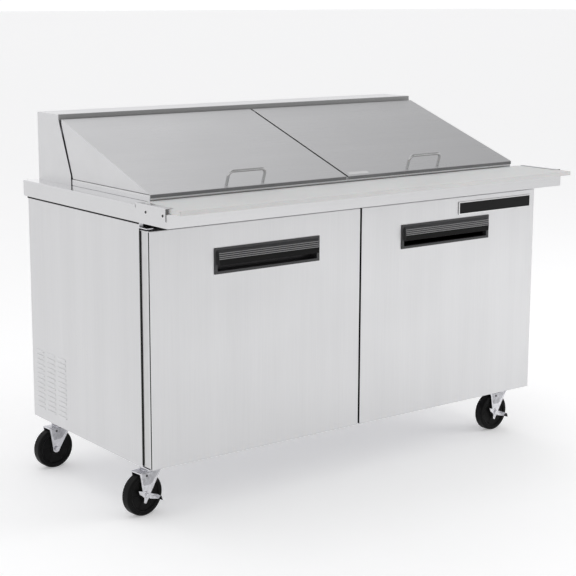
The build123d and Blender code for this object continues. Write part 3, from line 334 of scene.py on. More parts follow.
materials = {
    "door_steel": brushed_steel("door_steel", "z", 0.715, 0.655, (0.29, 0.39)),
    "end_steel": brushed_steel("end_steel", "z", 0.715, 0.65, (0.28, 0.39)),
    "top_steel": brushed_steel("top_steel", "x", 0.71, 0.67, (0.09, 0.16)),
    "lid_steel": brushed_steel("lid_steel", "x", 0.715, 0.65, (0.26, 0.38)),
    "pan_steel": brushed_steel("pan_steel", "z", 0.70, 0.66, (0.18, 0.26)),
    "liner_metal": plain_metal("liner_metal", 0.64, 0.61, (0.32, 0.40), 25),
    "zinc": plain_metal("zinc", 0.78, 0.60, (0.16, 0.28), 90, 1.04),
    # A darker copy of zinc for the fork pressings and raceway rings: painted shade.
    "zinc_painted_shade": plain_metal("zinc_painted_shade", 0.56, 0.36, (0.16, 0.28), 90, 1.05),
    # Dark zinc for screws and rivets; on the ring between the raceways it is painted shade.
    "dark_zinc_and_race_shade": plain_metal("dark_zinc_and_race_shade", 0.12, 0.07, (0.35, 0.5), 90, 1.02),
    "chrome": plain_metal("chrome", 0.82, 0.77, (0.05, 0.10), 40),
    # A darker copy of chrome for the lid handles: painted shade.
    "wire_chrome_painted_shade": plain_metal("wire_chrome_painted_shade", 0.56, 0.48, (0.08, 0.14), 40),
    "board": board_plastic("board"),
    "black_plastic": moulded("black_plastic", grey(0.036, 1.06), grey(0.026, 1.06), (0.28, 0.36)),
    # Black painted shade for gaps, recesses and the dark lines under rims and beside folds.
    "black_painted_shade": moulded("black_painted_shade", grey(0.006), grey(0.003), (0.55, 0.65), Specular_IOR_Level=0.15),
    # Dark grey on the lids' front lips: painted shade.
    "lid_lip_painted_shade": moulded("lid_lip_painted_shade", grey(0.17, 1.02), grey(0.13, 1.02), (0.30, 0.42), 200, 0.1),
    # Dark tone on the hood's front lip: painted shade.
    "hood_lip_painted_shade": painted_shade_lip("hood_lip_painted_shade", 0.26),
    "label": moulded("label", grey(0.62), grey(0.56), (0.3, 0.4), 200, 0.05),
    # Light grey on the pulls' ribs: a painted highlight.
    "rib_painted_highlight": moulded("rib_painted_highlight", grey(0.30), grey(0.25), (0.25, 0.32), 300, 0.1),
    "gasket": moulded("gasket", grey(0.014), grey(0.008), (0.5, 0.6)),
    "wheel": moulded("wheel", grey(0.004), grey(0.002), (0.36, 0.50), Specular_IOR_Level=0.12),
    "foam": moulded("foam", (0.85, 0.78, 0.58, 1), (0.75, 0.68, 0.48, 1), (0.8, 0.9), 120, 0.6),
    "badge": moulded("badge", grey(0.006), grey(0.003), (0.30, 0.38), 100, 0.05, Specular_IOR_Level=0.15),
    "enamel": moulded("enamel", grey(0.03), grey(0.02), (0.22, 0.32), 40, 0.2),
    "copper": coloured_metal("copper", (0.86, 0.50, 0.36, 1), (0.60, 0.30, 0.20, 1), (0.2, 0.35)),
    "fins": plain_metal("fins", 0.80, 0.70, (0.30, 0.45)),
    "white_plastic": moulded("white_plastic", grey(0.78), grey(0.72), (0.35, 0.45)),
}

node_material = {
    "stainless": "top_steel", "liner_metal": "liner_metal", "zinc": "zinc", "chrome": "chrome",
    "board_plastic": "board", "black_plastic": "black_plastic", "gasket_rubber": "gasket",
    "wheel_rubber": "wheel", "foam": "foam", "badge_black": "badge", "machine_black": "enamel",
    "copper": "copper", "fin_metal": "fins", "cabinet_plastic": "white_plastic",
}
special = {
    "left_door_skin": "door_steel", "right_door_skin": "door_steel",
    "left_side_panel": "end_steel", "right_side_panel": "end_steel", "rear_panel": "end_steel",
    "front_frame": "end_steel", "left_lid_skin": "lid_steel", "right_lid_skin": "lid_steel",
    "left_lid_handle": "wire_chrome_painted_shade", "right_lid_handle": "wire_chrome_painted_shade",
    "hood_shell": "lid_steel", "sixth_size_pans": "pan_steel", "third_size_pans": "pan_steel",
}


def material_of(node):
    return special.get(node, node_material[slot_of[node]])


# ---- making pieces ----


broad_face_weight = 90


def smooth_faces(piece, sharp_degrees):
    """Smooth shading that keeps broad faces flat, with sharp edges above an angle."""
    piece.data.shade_smooth()
    piece.data.set_sharp_from_angle(angle=math.radians(sharp_degrees))
    weighted = piece.modifiers.new("flat_faces", "WEIGHTED_NORMAL")
    weighted.keep_sharp = True
    weighted.weight = broad_face_weight


def place_piece(name, mesh, body, material, smooth_below=30):
    """A finished mesh as a named piece on a body, smooth except at its sharp edges."""
    piece = bpy.data.objects.new(name, mesh)
    bpy.context.scene.collection.objects.link(piece)
    mesh.materials.append(materials[material])
    smooth_faces(piece, smooth_below)
    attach(piece, body)
    return piece


def finished(bm, name):
    """A bmesh made into a mesh with its faces turned outwards."""
    bmesh.ops.recalc_face_normals(bm, faces=bm.faces)
    mesh = bpy.data.meshes.new(name)
    bm.to_mesh(mesh)
    bm.free()
    return mesh


def add_ring(bm, profile, low, high, across, depth_axis):
    """A closed frame round a rectangle: every profile point is (inset, depth), its corners mitred."""
    loops = []
    for inset, depth in profile:
        loop = []
        for first, second in ((0, 0), (1, 0), (1, 1), (0, 1)):
            place = [0.0, 0.0, 0.0]
            place[across[0]] = high[0] - inset if first else low[0] + inset
            place[across[1]] = high[1] - inset if second else low[1] + inset
            place[depth_axis] = depth
            loop.append(bm.verts.new(place))
        loops.append(loop)
    for a, b in zip(loops, loops[1:] + loops[:1]):
        for corner in range(4):
            after = (corner + 1) % 4
            bm.faces.new((a[corner], a[after], b[after], b[corner]))


def add_loft(bm, sections):
    """A closed solid through sections that have equal numbers of points."""
    rings = [[bm.verts.new(point) for point in section] for section in sections]
    count = len(rings[0])
    for a, b in zip(rings, rings[1:]):
        for k in range(count):
            after = (k + 1) % count
            bm.faces.new((a[k], a[after], b[after], b[k]))
    bm.faces.new(list(reversed(rings[0])))
    bm.faces.new(rings[-1])


def add_box(bm, low, high):
    corners = [(low[0], low[1]), (high[0], low[1]), (high[0], high[1]), (low[0], high[1])]
    add_loft(bm, [[(x, y, z) for x, y in corners] for z in (low[2], high[2])])


def circle(at, radius, height, steps):
    """Points round a frame's Z axis."""
    points = []
    for k in range(steps):
        turn = 2 * math.pi * k / steps
        points.append(at @ Vector((radius * math.cos(turn), radius * math.sin(turn), height)))
    return points


def add_lathe(bm, at, profile, steps=32):
    """A turned solid about a frame's Z axis through (radius, height) points, closed at both ends."""
    add_loft(bm, [circle(at, radius, height, steps) for radius, height in profile])


# A direction that no wire here runs along, from which each wire's section is turned.
off_every_wire = Vector((0.13, 0.31, 0.94))


def add_wire(bm, points, radius, closed=False, sides=8):
    """A round wire along points."""
    count = len(points)
    rings = []
    for k, point in enumerate(points):
        before = points[k - 1] if closed or k else points[0]
        after = points[(k + 1) % count] if closed or k < count - 1 else points[-1]
        run = (after - before).normalized()
        side = run.cross(off_every_wire).normalized()
        up = side.cross(run)
        ring = []
        for n in range(sides):
            turn = 2 * math.pi * n / sides
            ring.append(bm.verts.new(point + radius * (math.cos(turn) * side + math.sin(turn) * up)))
        rings.append(ring)
    pairs = list(zip(rings, rings[1:]))
    if closed:
        pairs.append((rings[-1], rings[0]))
    for a, b in pairs:
        for n in range(sides):
            after = (n + 1) % sides
            bm.faces.new((a[n], a[after], b[after], b[n]))
    if not closed:
        bm.faces.new(rings[0])
        bm.faces.new(list(reversed(rings[-1])))


def face_width(face):
    return face.calc_area() / max(e.calc_length() for e in face.edges)


edge_round = 0.35 * mm
edge_steps, fold_steps = 2, 4
edge_wear, fold_wear = 1.0, 0.25
rounded_above = math.radians(30)
flat_within = math.radians(0.3)
same_point = 0.01 * mm
broad_face = 8 * mm
cad_sharp_degrees = 46


def cad_copy(node):
    """A bmesh of a CAD node, without doubled points and edges inside flat faces."""
    bm = bmesh.new()
    bm.from_mesh(frame["nodes"][node].data)
    bmesh.ops.remove_doubles(bm, verts=bm.verts, dist=same_point)
    bmesh.ops.dissolve_limit(
        bm, angle_limit=flat_within, verts=bm.verts, edges=bm.edges, delimit=set()
    )
    bm.faces.layers.float.new("edge")
    return bm


def sharp_edges(bm):
    return [e for e in bm.edges if len(e.link_faces) == 2 and e.calc_face_angle(0) > rounded_above]


def is_fold(edge, radius, top):
    """Whether an edge is a sheet's fold: long, between two broad faces, and not wholly above a height."""
    return (
        edge.calc_length() > 2 * radius + broad_face
        and min(face_width(f) for f in edge.link_faces) > broad_face
        and min(v.co.z for v in edge.verts) < top
    )


def round_edges(bm, edges, radius, steps, wear):
    """Round some edges and mark how worn their new faces are, which the materials read."""
    if not edges:
        return
    made = bmesh.ops.bevel(
        bm, geom=edges, offset=radius, segments=steps, profile=0.5, affect="EDGES", clamp_overlap=False
    )
    mark = bm.faces.layers.float["edge"]
    for face in made["faces"]:
        face[mark] = wear


def rounded(node, fold, fold_top, zones):
    """A copy of a CAD node with its sharp edges rounded, which stands for the node.

    Folds below fold_top get the fold radius. zones are (test, material) pairs: the faces that pass a
    test get that material.
    """
    bm = cad_copy(node)
    if fold:
        sheet_folds = [e for e in sharp_edges(bm) if is_fold(e, fold, fold_top)]
        round_edges(bm, sheet_folds, fold, fold_steps, fold_wear)
    long_enough = [e for e in sharp_edges(bm) if e.calc_length() > 3 * edge_round]
    round_edges(bm, long_enough, edge_round, edge_steps, edge_wear)
    for index, (test, _) in enumerate(zones, start=1):
        for face in bm.faces:
            if test(face.calc_center_median(), face.normal):
                face.material_index = index
    mesh = bpy.data.meshes.new(node + "_rounded")
    bm.to_mesh(mesh)
    bm.free()
    piece = place_piece(
        node + "_piece", mesh, body_of[node], material_of(node), cad_sharp_degrees
    )
    for _, material in zones:
        mesh.materials.append(materials[material])
    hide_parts(node)


# ---- rounded copies of the CAD pieces ----

worktop_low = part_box("worktop")[0]
hood_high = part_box("hood_shell")[1]
lid_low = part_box("left_lid_skin")[0]
door_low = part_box("right_door_skin")[0]
pull_low, pull_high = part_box("left_door_pull")
lid_lip_height = 11 * mm
lid_slope_start = lid_low.z + 10.5 * mm
hood_lip_height = 17 * mm
pull_lip_depth = 4 * mm
rib_first, rib_pitch, rib_half, rib_count = 15.0 * mm, 5.5 * mm, 0.9 * mm, 4
shade_start = 3.3 * rib_pitch
pan_rim_height = 12 * mm

# Radius of each node's sheet folds, in millimetres.
folds = {
    "left_door_skin": 2.0, "right_door_skin": 2.0, "worktop": 2.0, "hood_shell": 1.6,
    "left_lid_skin": 1.4, "right_lid_skin": 1.4, "left_side_panel": 1.6, "right_side_panel": 1.6,
    "pan_rail_collar": 1.2, "interior_liner": 5.0, "left_door_liner": 3.0, "right_door_liner": 3.0,
    "third_size_pans": 5.0, "cutting_board": 1.0, "left_lid_liner": 3.0,
    "right_lid_liner": 3.0, "evaporator_housing": 2.0, "control_box": 1.5, "board_brackets": 1.0,
}


def faces_front(centre, normal):
    return normal.y < -0.9


def lid_lip(centre, normal):
    return faces_front(centre, normal) and centre.z < lid_low.z + lid_lip_height


def hood_lip(centre, normal):
    return faces_front(centre, normal) and centre.z > hood_high.z - hood_lip_height


def on_pull_lip(centre, normal):
    return normal.y < -0.7 and centre.y < pull_low.y + pull_lip_depth


def pull_rib(centre, normal):
    place = (pull_high.z - rib_first - centre.z) / rib_pitch
    on_a_rib = round(place) in range(rib_count) and abs(place - round(place)) < rib_half / rib_pitch
    return on_pull_lip(centre, normal) and on_a_rib


def pull_shade(centre, normal):
    return on_pull_lip(centre, normal) and centre.z < pull_high.z - rib_first - shade_start


def meeting_edge(centre, normal):
    return abs(normal.x) > 0.9 and abs(centre.x) < door_low.x + 1 * mm


# The black and dark zones imitate shade in the photograph: they are painted shade. The pulls' ribs are a
# feature seen there, and their light grey is a painted highlight.
pull_zones = [(pull_shade, "black_painted_shade"), (pull_rib, "rib_painted_highlight")]
zones = {
    "left_door_pull": pull_zones,
    "right_door_pull": pull_zones,
    "left_door_skin": [(meeting_edge, "black_painted_shade")],
    "right_door_skin": [(meeting_edge, "black_painted_shade")],
    "front_frame": [(faces_front, "black_painted_shade")],
    "left_lid_skin": [(lid_lip, "lid_lip_painted_shade")],
    "right_lid_skin": [(lid_lip, "lid_lip_painted_shade")],
    "hood_shell": [(hood_lip, "hood_lip_painted_shade")],
}
fold_tops = {"third_size_pans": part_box("third_size_pans")[1].z - pan_rim_height}
kept_as_cad = {"foam_insulation", "left_door_foam", "right_door_foam"}
made_below = {"board_bracket_screws", "left_door_gasket", "right_door_gasket"}

for node, source in frame["nodes"].items():
    if node in kept_as_cad:
        source.data.materials.clear()
        source.data.materials.append(materials[material_of(node)])
    elif node not in made_below:
        rounded(node, folds.get(node, 0.0) * mm, fold_tops.get(node, math.inf), zones.get(node, ()))

# ---- louvres ----

# The slots' sizes and places repeat part.py's.
louvre_slot = (52.0 * mm, 4.2 * mm)
louvre_pitch = (70.5 * mm, 15.4 * mm)
louvre_count = (3, 13)
louvre_centre = (315.0 * mm, 286.5 * mm)
grille_slot = (150.0 * mm, 6.0 * mm)
grille_pitch = (170.0 * mm, 14.0 * mm)
grille_count = (4, 12)
grille_centre = (-250.0 * mm, 290.0 * mm)
louvre_depth = 3.4 * mm
louvre_sheet = 0.8 * mm
louvre_margin = 2.0 * mm
louvre_overhang = 2.6 * mm
louvre_clear = 0.02 * mm


def add_louvre(bm, place, slot):
    """One pressed awning over a slot; place maps (along, out, up) from the slot's centre to the frame."""
    length, height = slot
    steps, turns = 16, 6
    rows = []
    for turn in range(turns + 1):
        sweep = math.pi / 2 * turn / turns
        row = []
        for step in range(steps + 1):
            share = 2 * step / steps - 1
            fullness = math.sqrt(max(0.0, 1 - abs(share) ** 5))
            along = share * (length / 2 + louvre_margin)
            out = louvre_depth * fullness * math.sin(sweep)
            drop = (height + louvre_overhang) * (1 - math.cos(sweep)) * (0.35 + 0.65 * fullness)
            row.append(bm.verts.new(place(along, out + louvre_clear, height / 2 + louvre_margin - drop)))
        rows.append(row)
    faces = []
    for lower, upper in zip(rows, rows[1:]):
        for k in range(steps):
            faces.append(bm.faces.new((lower[k], lower[k + 1], upper[k + 1], upper[k])))
    return faces


def make_louvres(name, node, centre, slot, pitch, count, place_at):
    """Rows of awnings pressed out of a panel."""
    bm = bmesh.new()
    faces = []
    for column in range(count[0]):
        for row in range(count[1]):
            across = centre[0] + (column - (count[0] - 1) / 2) * pitch[0]
            up = centre[1] + (row - (count[1] - 1) / 2) * pitch[1]
            faces += add_louvre(bm, place_at(across, up), slot)
    bmesh.ops.recalc_face_normals(bm, faces=bm.faces)
    bmesh.ops.solidify(bm, geom=faces, thickness=louvre_sheet)
    place_piece(name, finished(bm, name), body_of[node], "end_steel", 40)


left_face_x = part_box("left_side_panel")[0].x
rear_face_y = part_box("rear_panel")[1].y


def on_left_panel(across, up):
    return lambda along, out, rise: (left_face_x - out, across + along, up + rise)


def on_rear_panel(across, up):
    return lambda along, out, rise: (across + along, rear_face_y + out, up + rise)


make_louvres(
    "left_louvres", "left_side_panel", louvre_centre, louvre_slot, louvre_pitch, louvre_count, on_left_panel
)
make_louvres(
    "rear_louvres", "rear_panel", grille_centre, grille_slot, grille_pitch, grille_count, on_rear_panel
)

# ---- trims and seals ----


def make_rim_shade_strip():
    """Black strip under the worktop's rim, round both ends and the back: painted shade for the dark line
    under the rim.
    """
    drop, proud, overlap = 8.5 * mm, 1.6 * mm, 0.4 * mm
    top = worktop_low.z + overlap
    panel_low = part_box("left_side_panel")[0]
    panel_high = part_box("right_side_panel")[1]
    bm = bmesh.new()
    z = (top - drop, top)
    for x in ((panel_low.x - proud, panel_low.x), (panel_high.x, panel_high.x + proud)):
        add_box(bm, (x[0], panel_low.y, z[0]), (x[1], panel_high.y + proud, z[1]))
    add_box(bm, (panel_low.x, panel_high.y, z[0]), (panel_high.x, panel_high.y + proud, z[1]))
    bmesh.ops.bevel(bm, geom=bm.edges[:], offset=0.4 * mm, segments=2, profile=0.5, affect="EDGES")
    place_piece("rim_shade_strip", finished(bm, "rim_shade_strip"), "cabinet", "black_painted_shade")


def make_door_shade_strips(side):
    """Black strip at the back of a door's hinge side and a thin dark strip by its front fold, both painted
    shade for the dark lines there.
    """
    name = "left_door" if side < 0 else "right_door"
    skin_low, skin_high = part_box(name + "_skin")
    tray_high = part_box(name + "_liner")[1]
    face_x = skin_low.x if side < 0 else skin_high.x
    sink, proud, chamfer = 0.3 * mm, 0.8 * mm, 0.8 * mm
    hinge_gap_shade = (tray_high.y - 9.5 * mm, tray_high.y)
    fold_shade = (skin_low.y + 1.9 * mm, skin_low.y + 7.4 * mm)
    bm = bmesh.new()
    for (front, back), rise in ((hinge_gap_shade, proud), (fold_shade, 0.35 * mm)):
        section = [
            (-sink, front), (0.0, front), (rise, front + chamfer),
            (rise, back - chamfer), (0.0, back), (-sink, back),
        ]
        heights = (skin_low.z + 2.5 * mm, skin_high.z - 2.5 * mm)
        add_loft(bm, [[(face_x + side * out, y, z) for out, y in section] for z in heights])
    place_piece(name + "_painted_shade_strips", finished(bm, name), name, "black_painted_shade", 60)


def make_badge_frame():
    """Bright frame round the blank badge plate."""
    low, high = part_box("badge_plate")
    front = low.y
    width, proud, back = 3.0 * mm, 0.7 * mm, 2.9 * mm
    profile = [
        (0.0, front + back), (0.0, front), (0.4 * mm, front - proud), (width, front - proud),
        (width + 0.3 * mm, front + 0.3 * mm), (width + 0.3 * mm, front + back),
    ]
    bm = bmesh.new()
    add_ring(bm, profile, (low.x, low.z), (high.x, high.z), (0, 2), 1)
    place_piece("badge_frame", finished(bm, "badge_frame"), "right_door", "chrome")


def make_lid_label():
    """Small blank metal label near the front edge of the right lid."""
    low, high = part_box("right_lid_skin")
    slope = (high.z - lid_slope_start) / (high.y - low.y)
    angle = math.atan(slope)
    length, breadth, thick = 78 * mm, 15 * mm, 0.35 * mm
    from_end, from_front = 14 * mm, 9 * mm
    along = Vector((0, math.cos(angle), math.sin(angle)))
    out = Vector((0, -math.sin(angle), math.cos(angle)))
    origin = Vector((low.x + from_end, low.y + from_front, lid_slope_start + slope * from_front))
    bm = bmesh.new()
    sections = []
    for height, inset in ((-0.2 * mm, 0.0), (0.6 * thick, 0.0), (thick, 0.5 * mm)):
        corners = (
            (inset, inset), (length - inset, inset),
            (length - inset, breadth - inset), (inset, breadth - inset),
        )
        sections.append([origin + Vector((x, 0, 0)) + along * run + out * height for x, run in corners])
    add_loft(bm, sections)
    place_piece("lid_label", finished(bm, "lid_label"), "right_lid", "label", 40)


def make_gasket(node):
    """Magnetic door gasket: a base, a folded bellows and a soft sealing bulb."""
    low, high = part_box(node)
    back, front = low.y, high.y
    depth = front - back
    width = 16 * mm
    profile = [
        (0.0, back), (0.0, back + 0.22 * depth), (0.12 * width, back + 0.34 * depth),
        (0.02 * width, back + 0.50 * depth), (0.10 * width, back + 0.66 * depth),
        (0.0, back + 0.82 * depth), (0.08 * width, front), (0.80 * width, front),
        (0.95 * width, back + 0.84 * depth), (0.86 * width, back + 0.66 * depth),
        (0.98 * width, back + 0.50 * depth), (0.88 * width, back + 0.34 * depth),
        (width, back + 0.22 * depth), (width, back),
    ]
    bm = bmesh.new()
    add_ring(bm, profile, (low.x, low.z), (high.x, high.z), (0, 2), 1)
    piece = place_piece(node + "_piece", finished(bm, node), body_of[node], "gasket", 50)
    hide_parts(node)


def make_pan_rims():
    """Rolled edges of the food pans."""
    roll, gap, columns, steps = 1.3 * mm, 2 * mm, 8, 8
    for node in ("sixth_size_pans", "third_size_pans"):
        low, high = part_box(node)
        pitch = (high.x - low.x + gap) / columns
        bm = bmesh.new()
        for column in range(columns):
            left = low.x + column * pitch
            profile = []
            for k in range(steps):
                turn = 2 * math.pi * k / steps
                profile.append((roll * (1 - math.cos(turn)), high.z - 0.2 * mm + roll * math.sin(turn)))
            add_ring(bm, profile, (left, low.y), (left + pitch - gap, high.y), (0, 1), 2)
        place_piece(node + "_rims", finished(bm, node + "_rims"), "cabinet", "pan_steel", 60)


make_rim_shade_strip()
make_door_shade_strips(-1)
make_door_shade_strips(1)
make_badge_frame()
make_lid_label()
make_gasket("left_door_gasket")
make_gasket("right_door_gasket")
make_pan_rims()

# ---- screws ----


def add_screw_head(bm, matrix, radius, height):
    """Domed head with a cross recess, standing on the matrix's XY plane."""
    rings, steps = 12, 48
    slot_half, slot_reach, slot_depth = 0.14 * radius, 0.52 * radius, 0.55 * height
    rows = []
    for ring in range(1, rings + 1):
        r = radius * ring / rings
        row = []
        for step in range(steps):
            turn = 2 * math.pi * step / steps
            x, y = r * math.cos(turn), r * math.sin(turn)
            z = height * (1 - (r / radius) ** 3) ** 0.5 if ring < rings else 0.0
            narrow, wide = sorted((abs(x), abs(y)))
            if narrow < slot_half and wide < slot_reach:
                z -= slot_depth
            row.append(bm.verts.new(matrix @ Vector((x, y, z))))
        rows.append(row)
    for a, b in zip(rows, rows[1:]):
        for k in range(steps):
            after = (k + 1) % steps
            bm.faces.new((a[k], b[k], b[after], a[after]))
    bm.faces.new(rows[0])
    bm.faces.new(list(reversed(rows[-1])))


def outward(place, direction):
    """A frame at a place whose Z axis points along a direction."""
    return Matrix.Translation(place) @ Vector(direction).to_track_quat("Z", "Y").to_matrix().to_4x4()


def make_bracket_screws():
    """Two pan-head screws through each board bracket."""
    node = "board_bracket_screws"
    low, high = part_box(node)
    plate_low, plate_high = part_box("board_brackets")
    radius = (high.z - low.z) / 2
    middle_z = (low.z + high.z) / 2
    head = high.x - plate_high.x
    seat, shank_radius, shank_length = 0.4 * mm, 2.4 * mm, 8 * mm
    bm = bmesh.new()
    rings = bmesh.new()
    washer = [(1.28 * radius, 0.0), (1.28 * radius, 0.3 * mm), (1.1 * radius, 0.5 * mm)]
    for side, face_x in ((-1, plate_low.x), (1, plate_high.x)):
        for y in (low.y + radius, high.y - radius):
            at = outward((face_x, y, middle_z), (side, 0, 0))
            add_lathe(rings, at, washer)
            add_screw_head(bm, at @ Matrix.Translation((0, 0, seat)), radius * 0.80, head - seat)
            shank = outward((face_x - side * shank_length, y, middle_z), (side, 0, 0))
            add_lathe(bm, shank, [(shank_radius, 0.0), (shank_radius, shank_length)], 16)
    piece = place_piece(node + "_piece", finished(bm, node), "cabinet", "dark_zinc_and_race_shade", 40)
    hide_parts(node)
    place_piece("bracket_washers", finished(rings, "bracket_washers"), "cabinet", "chrome", 40)


def make_bracket_shade_lines():
    """Dark strip down the front edge of each board bracket: painted shade for the dark line seen in the
    photograph.
    """
    low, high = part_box("board_brackets")
    width, proud = 1.6 * mm, 0.5 * mm
    bm = bmesh.new()
    for side, face_x in ((-1, low.x), (1, high.x)):
        section = [
            (-0.2 * mm, 0.0), (0.6 * proud, 0.0), (proud, 0.3),
            (proud, 0.7), (0.6 * proud, 1.0), (-0.2 * mm, 1.0),
        ]
        loops = []
        for z in (low.z + 1 * mm, high.z - 2 * mm):
            loops.append([(face_x + side * out, low.y + share * width, z) for out, share in section])
        add_loft(bm, loops)
    place_piece("bracket_shade_lines", finished(bm, "bracket_shade_lines"), "cabinet", "black_painted_shade", 60)


def make_panel_screws():
    """Screws along the edges of the rear panel."""
    low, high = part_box("rear_panel")
    inset = 16 * mm
    radius, height = 4.5 * mm, 1.9 * mm
    bm = bmesh.new()
    columns, rows = 8, 4
    for column in range(columns):
        x = low.x + inset + (high.x - low.x - 2 * inset) * column / (columns - 1)
        for z in (low.z + inset, worktop_low.z - inset):
            add_screw_head(bm, outward((x, high.y, z), (0, 1, 0)), radius, height)
    for row in range(1, rows):
        z = low.z + inset + (worktop_low.z - low.z - 2 * inset) * row / rows
        for x in (low.x + inset, high.x - inset):
            add_screw_head(bm, outward((x, high.y, z), (0, 1, 0)), radius, height)
    place_piece("rear_panel_screws", finished(bm, "rear_panel_screws"), "cabinet", "zinc", 40)


make_bracket_screws()
make_bracket_shade_lines()
make_panel_screws()

# ---- casters ----

joints = {joint["name"]: joint for joint in record["behaviour"]["joints"]}
# The sizes and places of forks, plates, wheels and brakes repeat part.py's.
fork_half = 21.0 * mm
leg_rise = 2.6 * mm
leg_sink, leg_lip = 0.4 * mm, 0.1 * mm
# Height above the axle, then leading edge, ridge from and to, and trailing edge, all in millimetres, and
# the share of the rise that the ridge has there.
leg_sections = (
    (67.5, -52, -15, 14, 18, 1.0),
    (46.0, -32, -12, 10, 14, 1.0),
    (34.0, -22, -11, 8, 11, 0.7),
    (30.0, -14, -9, 6, 8, 0.05),
)
# (radius, height) points in millimetres: round the swivel from the floor up, and on a leg's face.
lower_race = ((26.8, 135), (29.0, 136), (30.2, 139), (30.2, 142), (29.0, 145), (26.8, 146))
upper_race = ((28.6, 149), (29.6, 150), (29.6, 153), (28.6, 154))
race_shade_ring = ((27.4, 146), (27.4, 149))
leg_rivet = ((3.6, -0.2), (3.6, 0.8), (2.6, 1.5))
leg_rivet_height = 59 * mm
wheel_half, hub_half = 16.0 * mm, 12 * mm
bead_radii = (51.5 * mm, 55.0 * mm)
spoke_radii = (20.5, 33, 45.5)
bead_thick, spoke_thick = 0.55 * mm, 1.1 * mm


def in_mm(points):
    return [tuple(value * mm for value in point) for point in points]


def swivel_frame(place):
    """Frame on the floor below a caster's swivel, with its Z axis up."""
    swivel = Vector(joints[place + "_swivel_turn"]["pos_m"])
    return Matrix.Translation((swivel.x, swivel.y, 0))


def caster_frame(place):
    """Frame at the axle: X from the swivel to the axle, Y up, Z along the axle to the brake's side."""
    swivel = Vector(joints[place + "_swivel_turn"]["pos_m"])
    axle = Vector(joints[place + "_wheel_roll"]["pos_m"])
    along = Vector((axle.x - swivel.x, axle.y - swivel.y, 0)).normalized()
    up = Vector((0, 0, 1))
    out = -along.cross(up)
    turn = Matrix((along, up, out)).transposed().to_4x4()
    return Matrix.Translation(axle) @ turn


def add_leg_pressing(bm, at, side):
    """Raised channel pressed into a fork leg, with a long slope towards its leading edge."""
    sections = []
    for height, lead, left, right, tail, share in leg_sections:
        base, lip, ridge = fork_half - leg_sink, fork_half + leg_lip, fork_half + share * leg_rise
        points = [(lead, base), (lead, lip), (left, ridge), (right, ridge), (tail, lip), (tail, base)]
        sections.append([at @ Vector((x * mm, height * mm, side * z)) for x, z in points])
    add_loft(bm, sections)


def make_fork_pressings(place, at, race):
    """Pressed legs and raceway rings of one caster."""
    bm = bmesh.new()
    for side in (-1, 1):
        add_leg_pressing(bm, at, side)
    add_lathe(bm, race, in_mm(lower_race), 48)
    add_lathe(bm, race, in_mm(upper_race), 48)
    mesh = finished(bm, place + "_fork")
    # The pressings and raceway rings get the darker zinc: painted shade.
    place_piece(place + "_fork_pressings", mesh, place + "_swivel", "zinc_painted_shade", 35)


def make_fork_rivets(place, at, race):
    """Rivets on the fork's legs and a dark ring between the raceway rings of one caster, painted shade of
    the gap between them.
    """
    bm = bmesh.new()
    for side in (-1, 1):
        face = at @ Matrix.Translation((0, leg_rivet_height, side * (fork_half + leg_rise)))
        if side < 0:
            face = face @ Matrix.Rotation(math.pi, 4, "X")
        add_lathe(bm, face, in_mm(leg_rivet), 24)
    add_lathe(bm, race, in_mm(race_shade_ring), 48)
    mesh = finished(bm, place + "_rivets")
    place_piece(place + "_rivets", mesh, place + "_swivel", "dark_zinc_and_race_shade", 35)


def make_wheel_beads(place, at):
    """Sidewall beads and spokes of one wheel."""
    bm = bmesh.new()
    for side in (-1, 1):
        for radius in bead_radii:
            add_wire(bm, circle(at, radius, side * wheel_half, 72), bead_thick, closed=True, sides=6)
        for spoke in range(6):
            turn = 2 * math.pi * spoke / 6
            points = [
                at @ Vector((r * mm * math.cos(turn), r * mm * math.sin(turn), side * hub_half))
                for r in spoke_radii
            ]
            add_wire(bm, points, spoke_thick, sides=8)
    mesh = finished(bm, place + "_beads")
    place_piece(place + "_wheel_beads", mesh, place + "_wheel_body", "wheel")


def make_caster_details(place):
    """The pressings, rivets and beads of one caster."""
    at, race = caster_frame(place), swivel_frame(place)
    make_fork_pressings(place, at, race)
    make_fork_rivets(place, at, race)
    make_wheel_beads(place, at)


brake_face, brake_rise, brake_sink = 23.8 * mm, 1.1 * mm, 0.2 * mm
# Outlines in the caster's own frame, in millimetres: the brake's tongue and the ridge on it.
tongue = ((-13, -3.5), (-34, -9.5), (-36, -14), (-14, -9))
tongue_ridge = ((-15, -5), (-33, -10.3), (-34, -12.6), (-16, -8))
brake_rivet = ((10.5, 0.0), (10.5, 0.8), (9.6, 1.3), (8.8, 1.3))


def make_brake_details(place):
    """Ridge pressed along the brake's tongue and the rivet at its hub."""
    at = caster_frame(place)
    bm = bmesh.new()
    sections = []
    for outline, height in (
        (tongue, brake_face - brake_sink), (tongue, brake_face), (tongue_ridge, brake_face + brake_rise),
    ):
        sections.append([at @ Vector((x, y, height)) for x, y in in_mm(outline)])
    add_loft(bm, sections)
    hub = at @ Matrix.Translation((0, 0, brake_face - brake_sink))
    add_lathe(bm, hub, in_mm(brake_rivet))
    mesh = finished(bm, place + "_ridge")
    place_piece(place + "_brake_ridge", mesh, place + "_brake_lever", "zinc", 35)


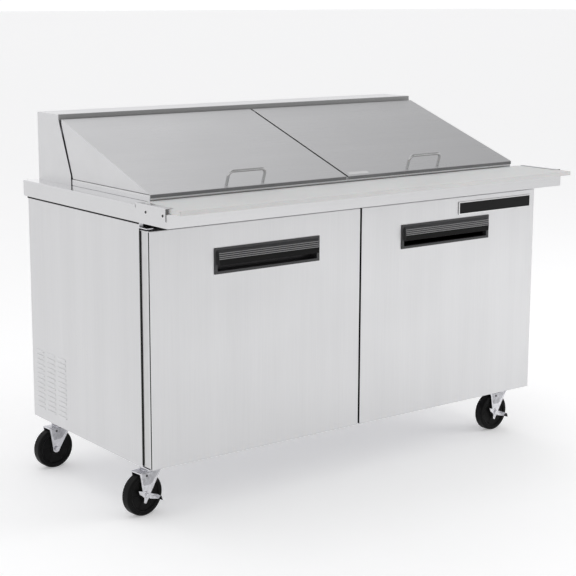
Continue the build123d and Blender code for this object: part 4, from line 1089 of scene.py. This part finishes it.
for place in ("front_left", "front_right", "rear_left", "rear_right"):
    make_caster_details(place)
for place in ("front_left", "front_right"):
    make_brake_details(place)

# ---- inside: fan guard ----

# Radii in millimetres of the guard's rings, and of three points along each of its spokes.
guard_rings = (18, 30, 42, 54, 66, 80)
guard_spokes = (10, 45, 82)
guard_gap, guard_spoke_gap = 2 * mm, 1.2 * mm


def make_fan_guard():
    """Wire guard in front of the evaporator fan."""
    centre = Vector(joints["evaporator_fan_spin"]["pos_m"])
    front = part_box("evaporator_housing")[0].y - guard_gap

    def on_guard(radius, turn, depth):
        across, up = radius * mm * math.cos(turn), radius * mm * math.sin(turn)
        return Vector((centre.x + across, depth, centre.z + up))

    bm = bmesh.new()
    for radius in guard_rings:
        points = [on_guard(radius, 2 * math.pi * k / 60, front) for k in range(60)]
        add_wire(bm, points, 1.0 * mm, closed=True, sides=6)
    for spoke in range(4):
        turn = math.pi / 4 + math.pi / 2 * spoke
        ends = [on_guard(radius, turn, front + guard_spoke_gap) for radius in guard_spokes]
        add_wire(bm, ends, 1.3 * mm, sides=8)
    place_piece("evaporator_fan_guard", finished(bm, "fan_guard"), "cabinet", "chrome", 60)


make_fan_guard()

# ---- floor ----


def make_floor():
    """The plain pale studio floor, with a faint even glow of its own so that it stays near white."""
    half = floor_size / 2
    mesh = bpy.data.meshes.new("studio_floor")
    corners = [(-half, -half, 0), (half, -half, 0), (half, half, 0), (-half, half, 0)]
    mesh.from_pydata(corners, [], [(0, 1, 2, 3)])
    floor = bpy.data.objects.new("studio_floor", mesh)
    bpy.context.scene.collection.objects.link(floor)
    shader = Shader("studio_floor", Emission_Color=(1, 1, 1, 1), Emission_Strength=floor_glow)
    shader.link(shader.mix(shader.noise(3.0), grey(0.88), grey(0.9)), "Base Color")
    shader.link(shader.span(shader.noise(40.0), 0.75, 0.85), "Roughness")
    shader.surface.inputs["Specular IOR Level"].default_value = 0.1
    floor.data.materials.append(shader.material)


make_floor()
bpy.context.scene.view_settings.view_transform = "Standard"
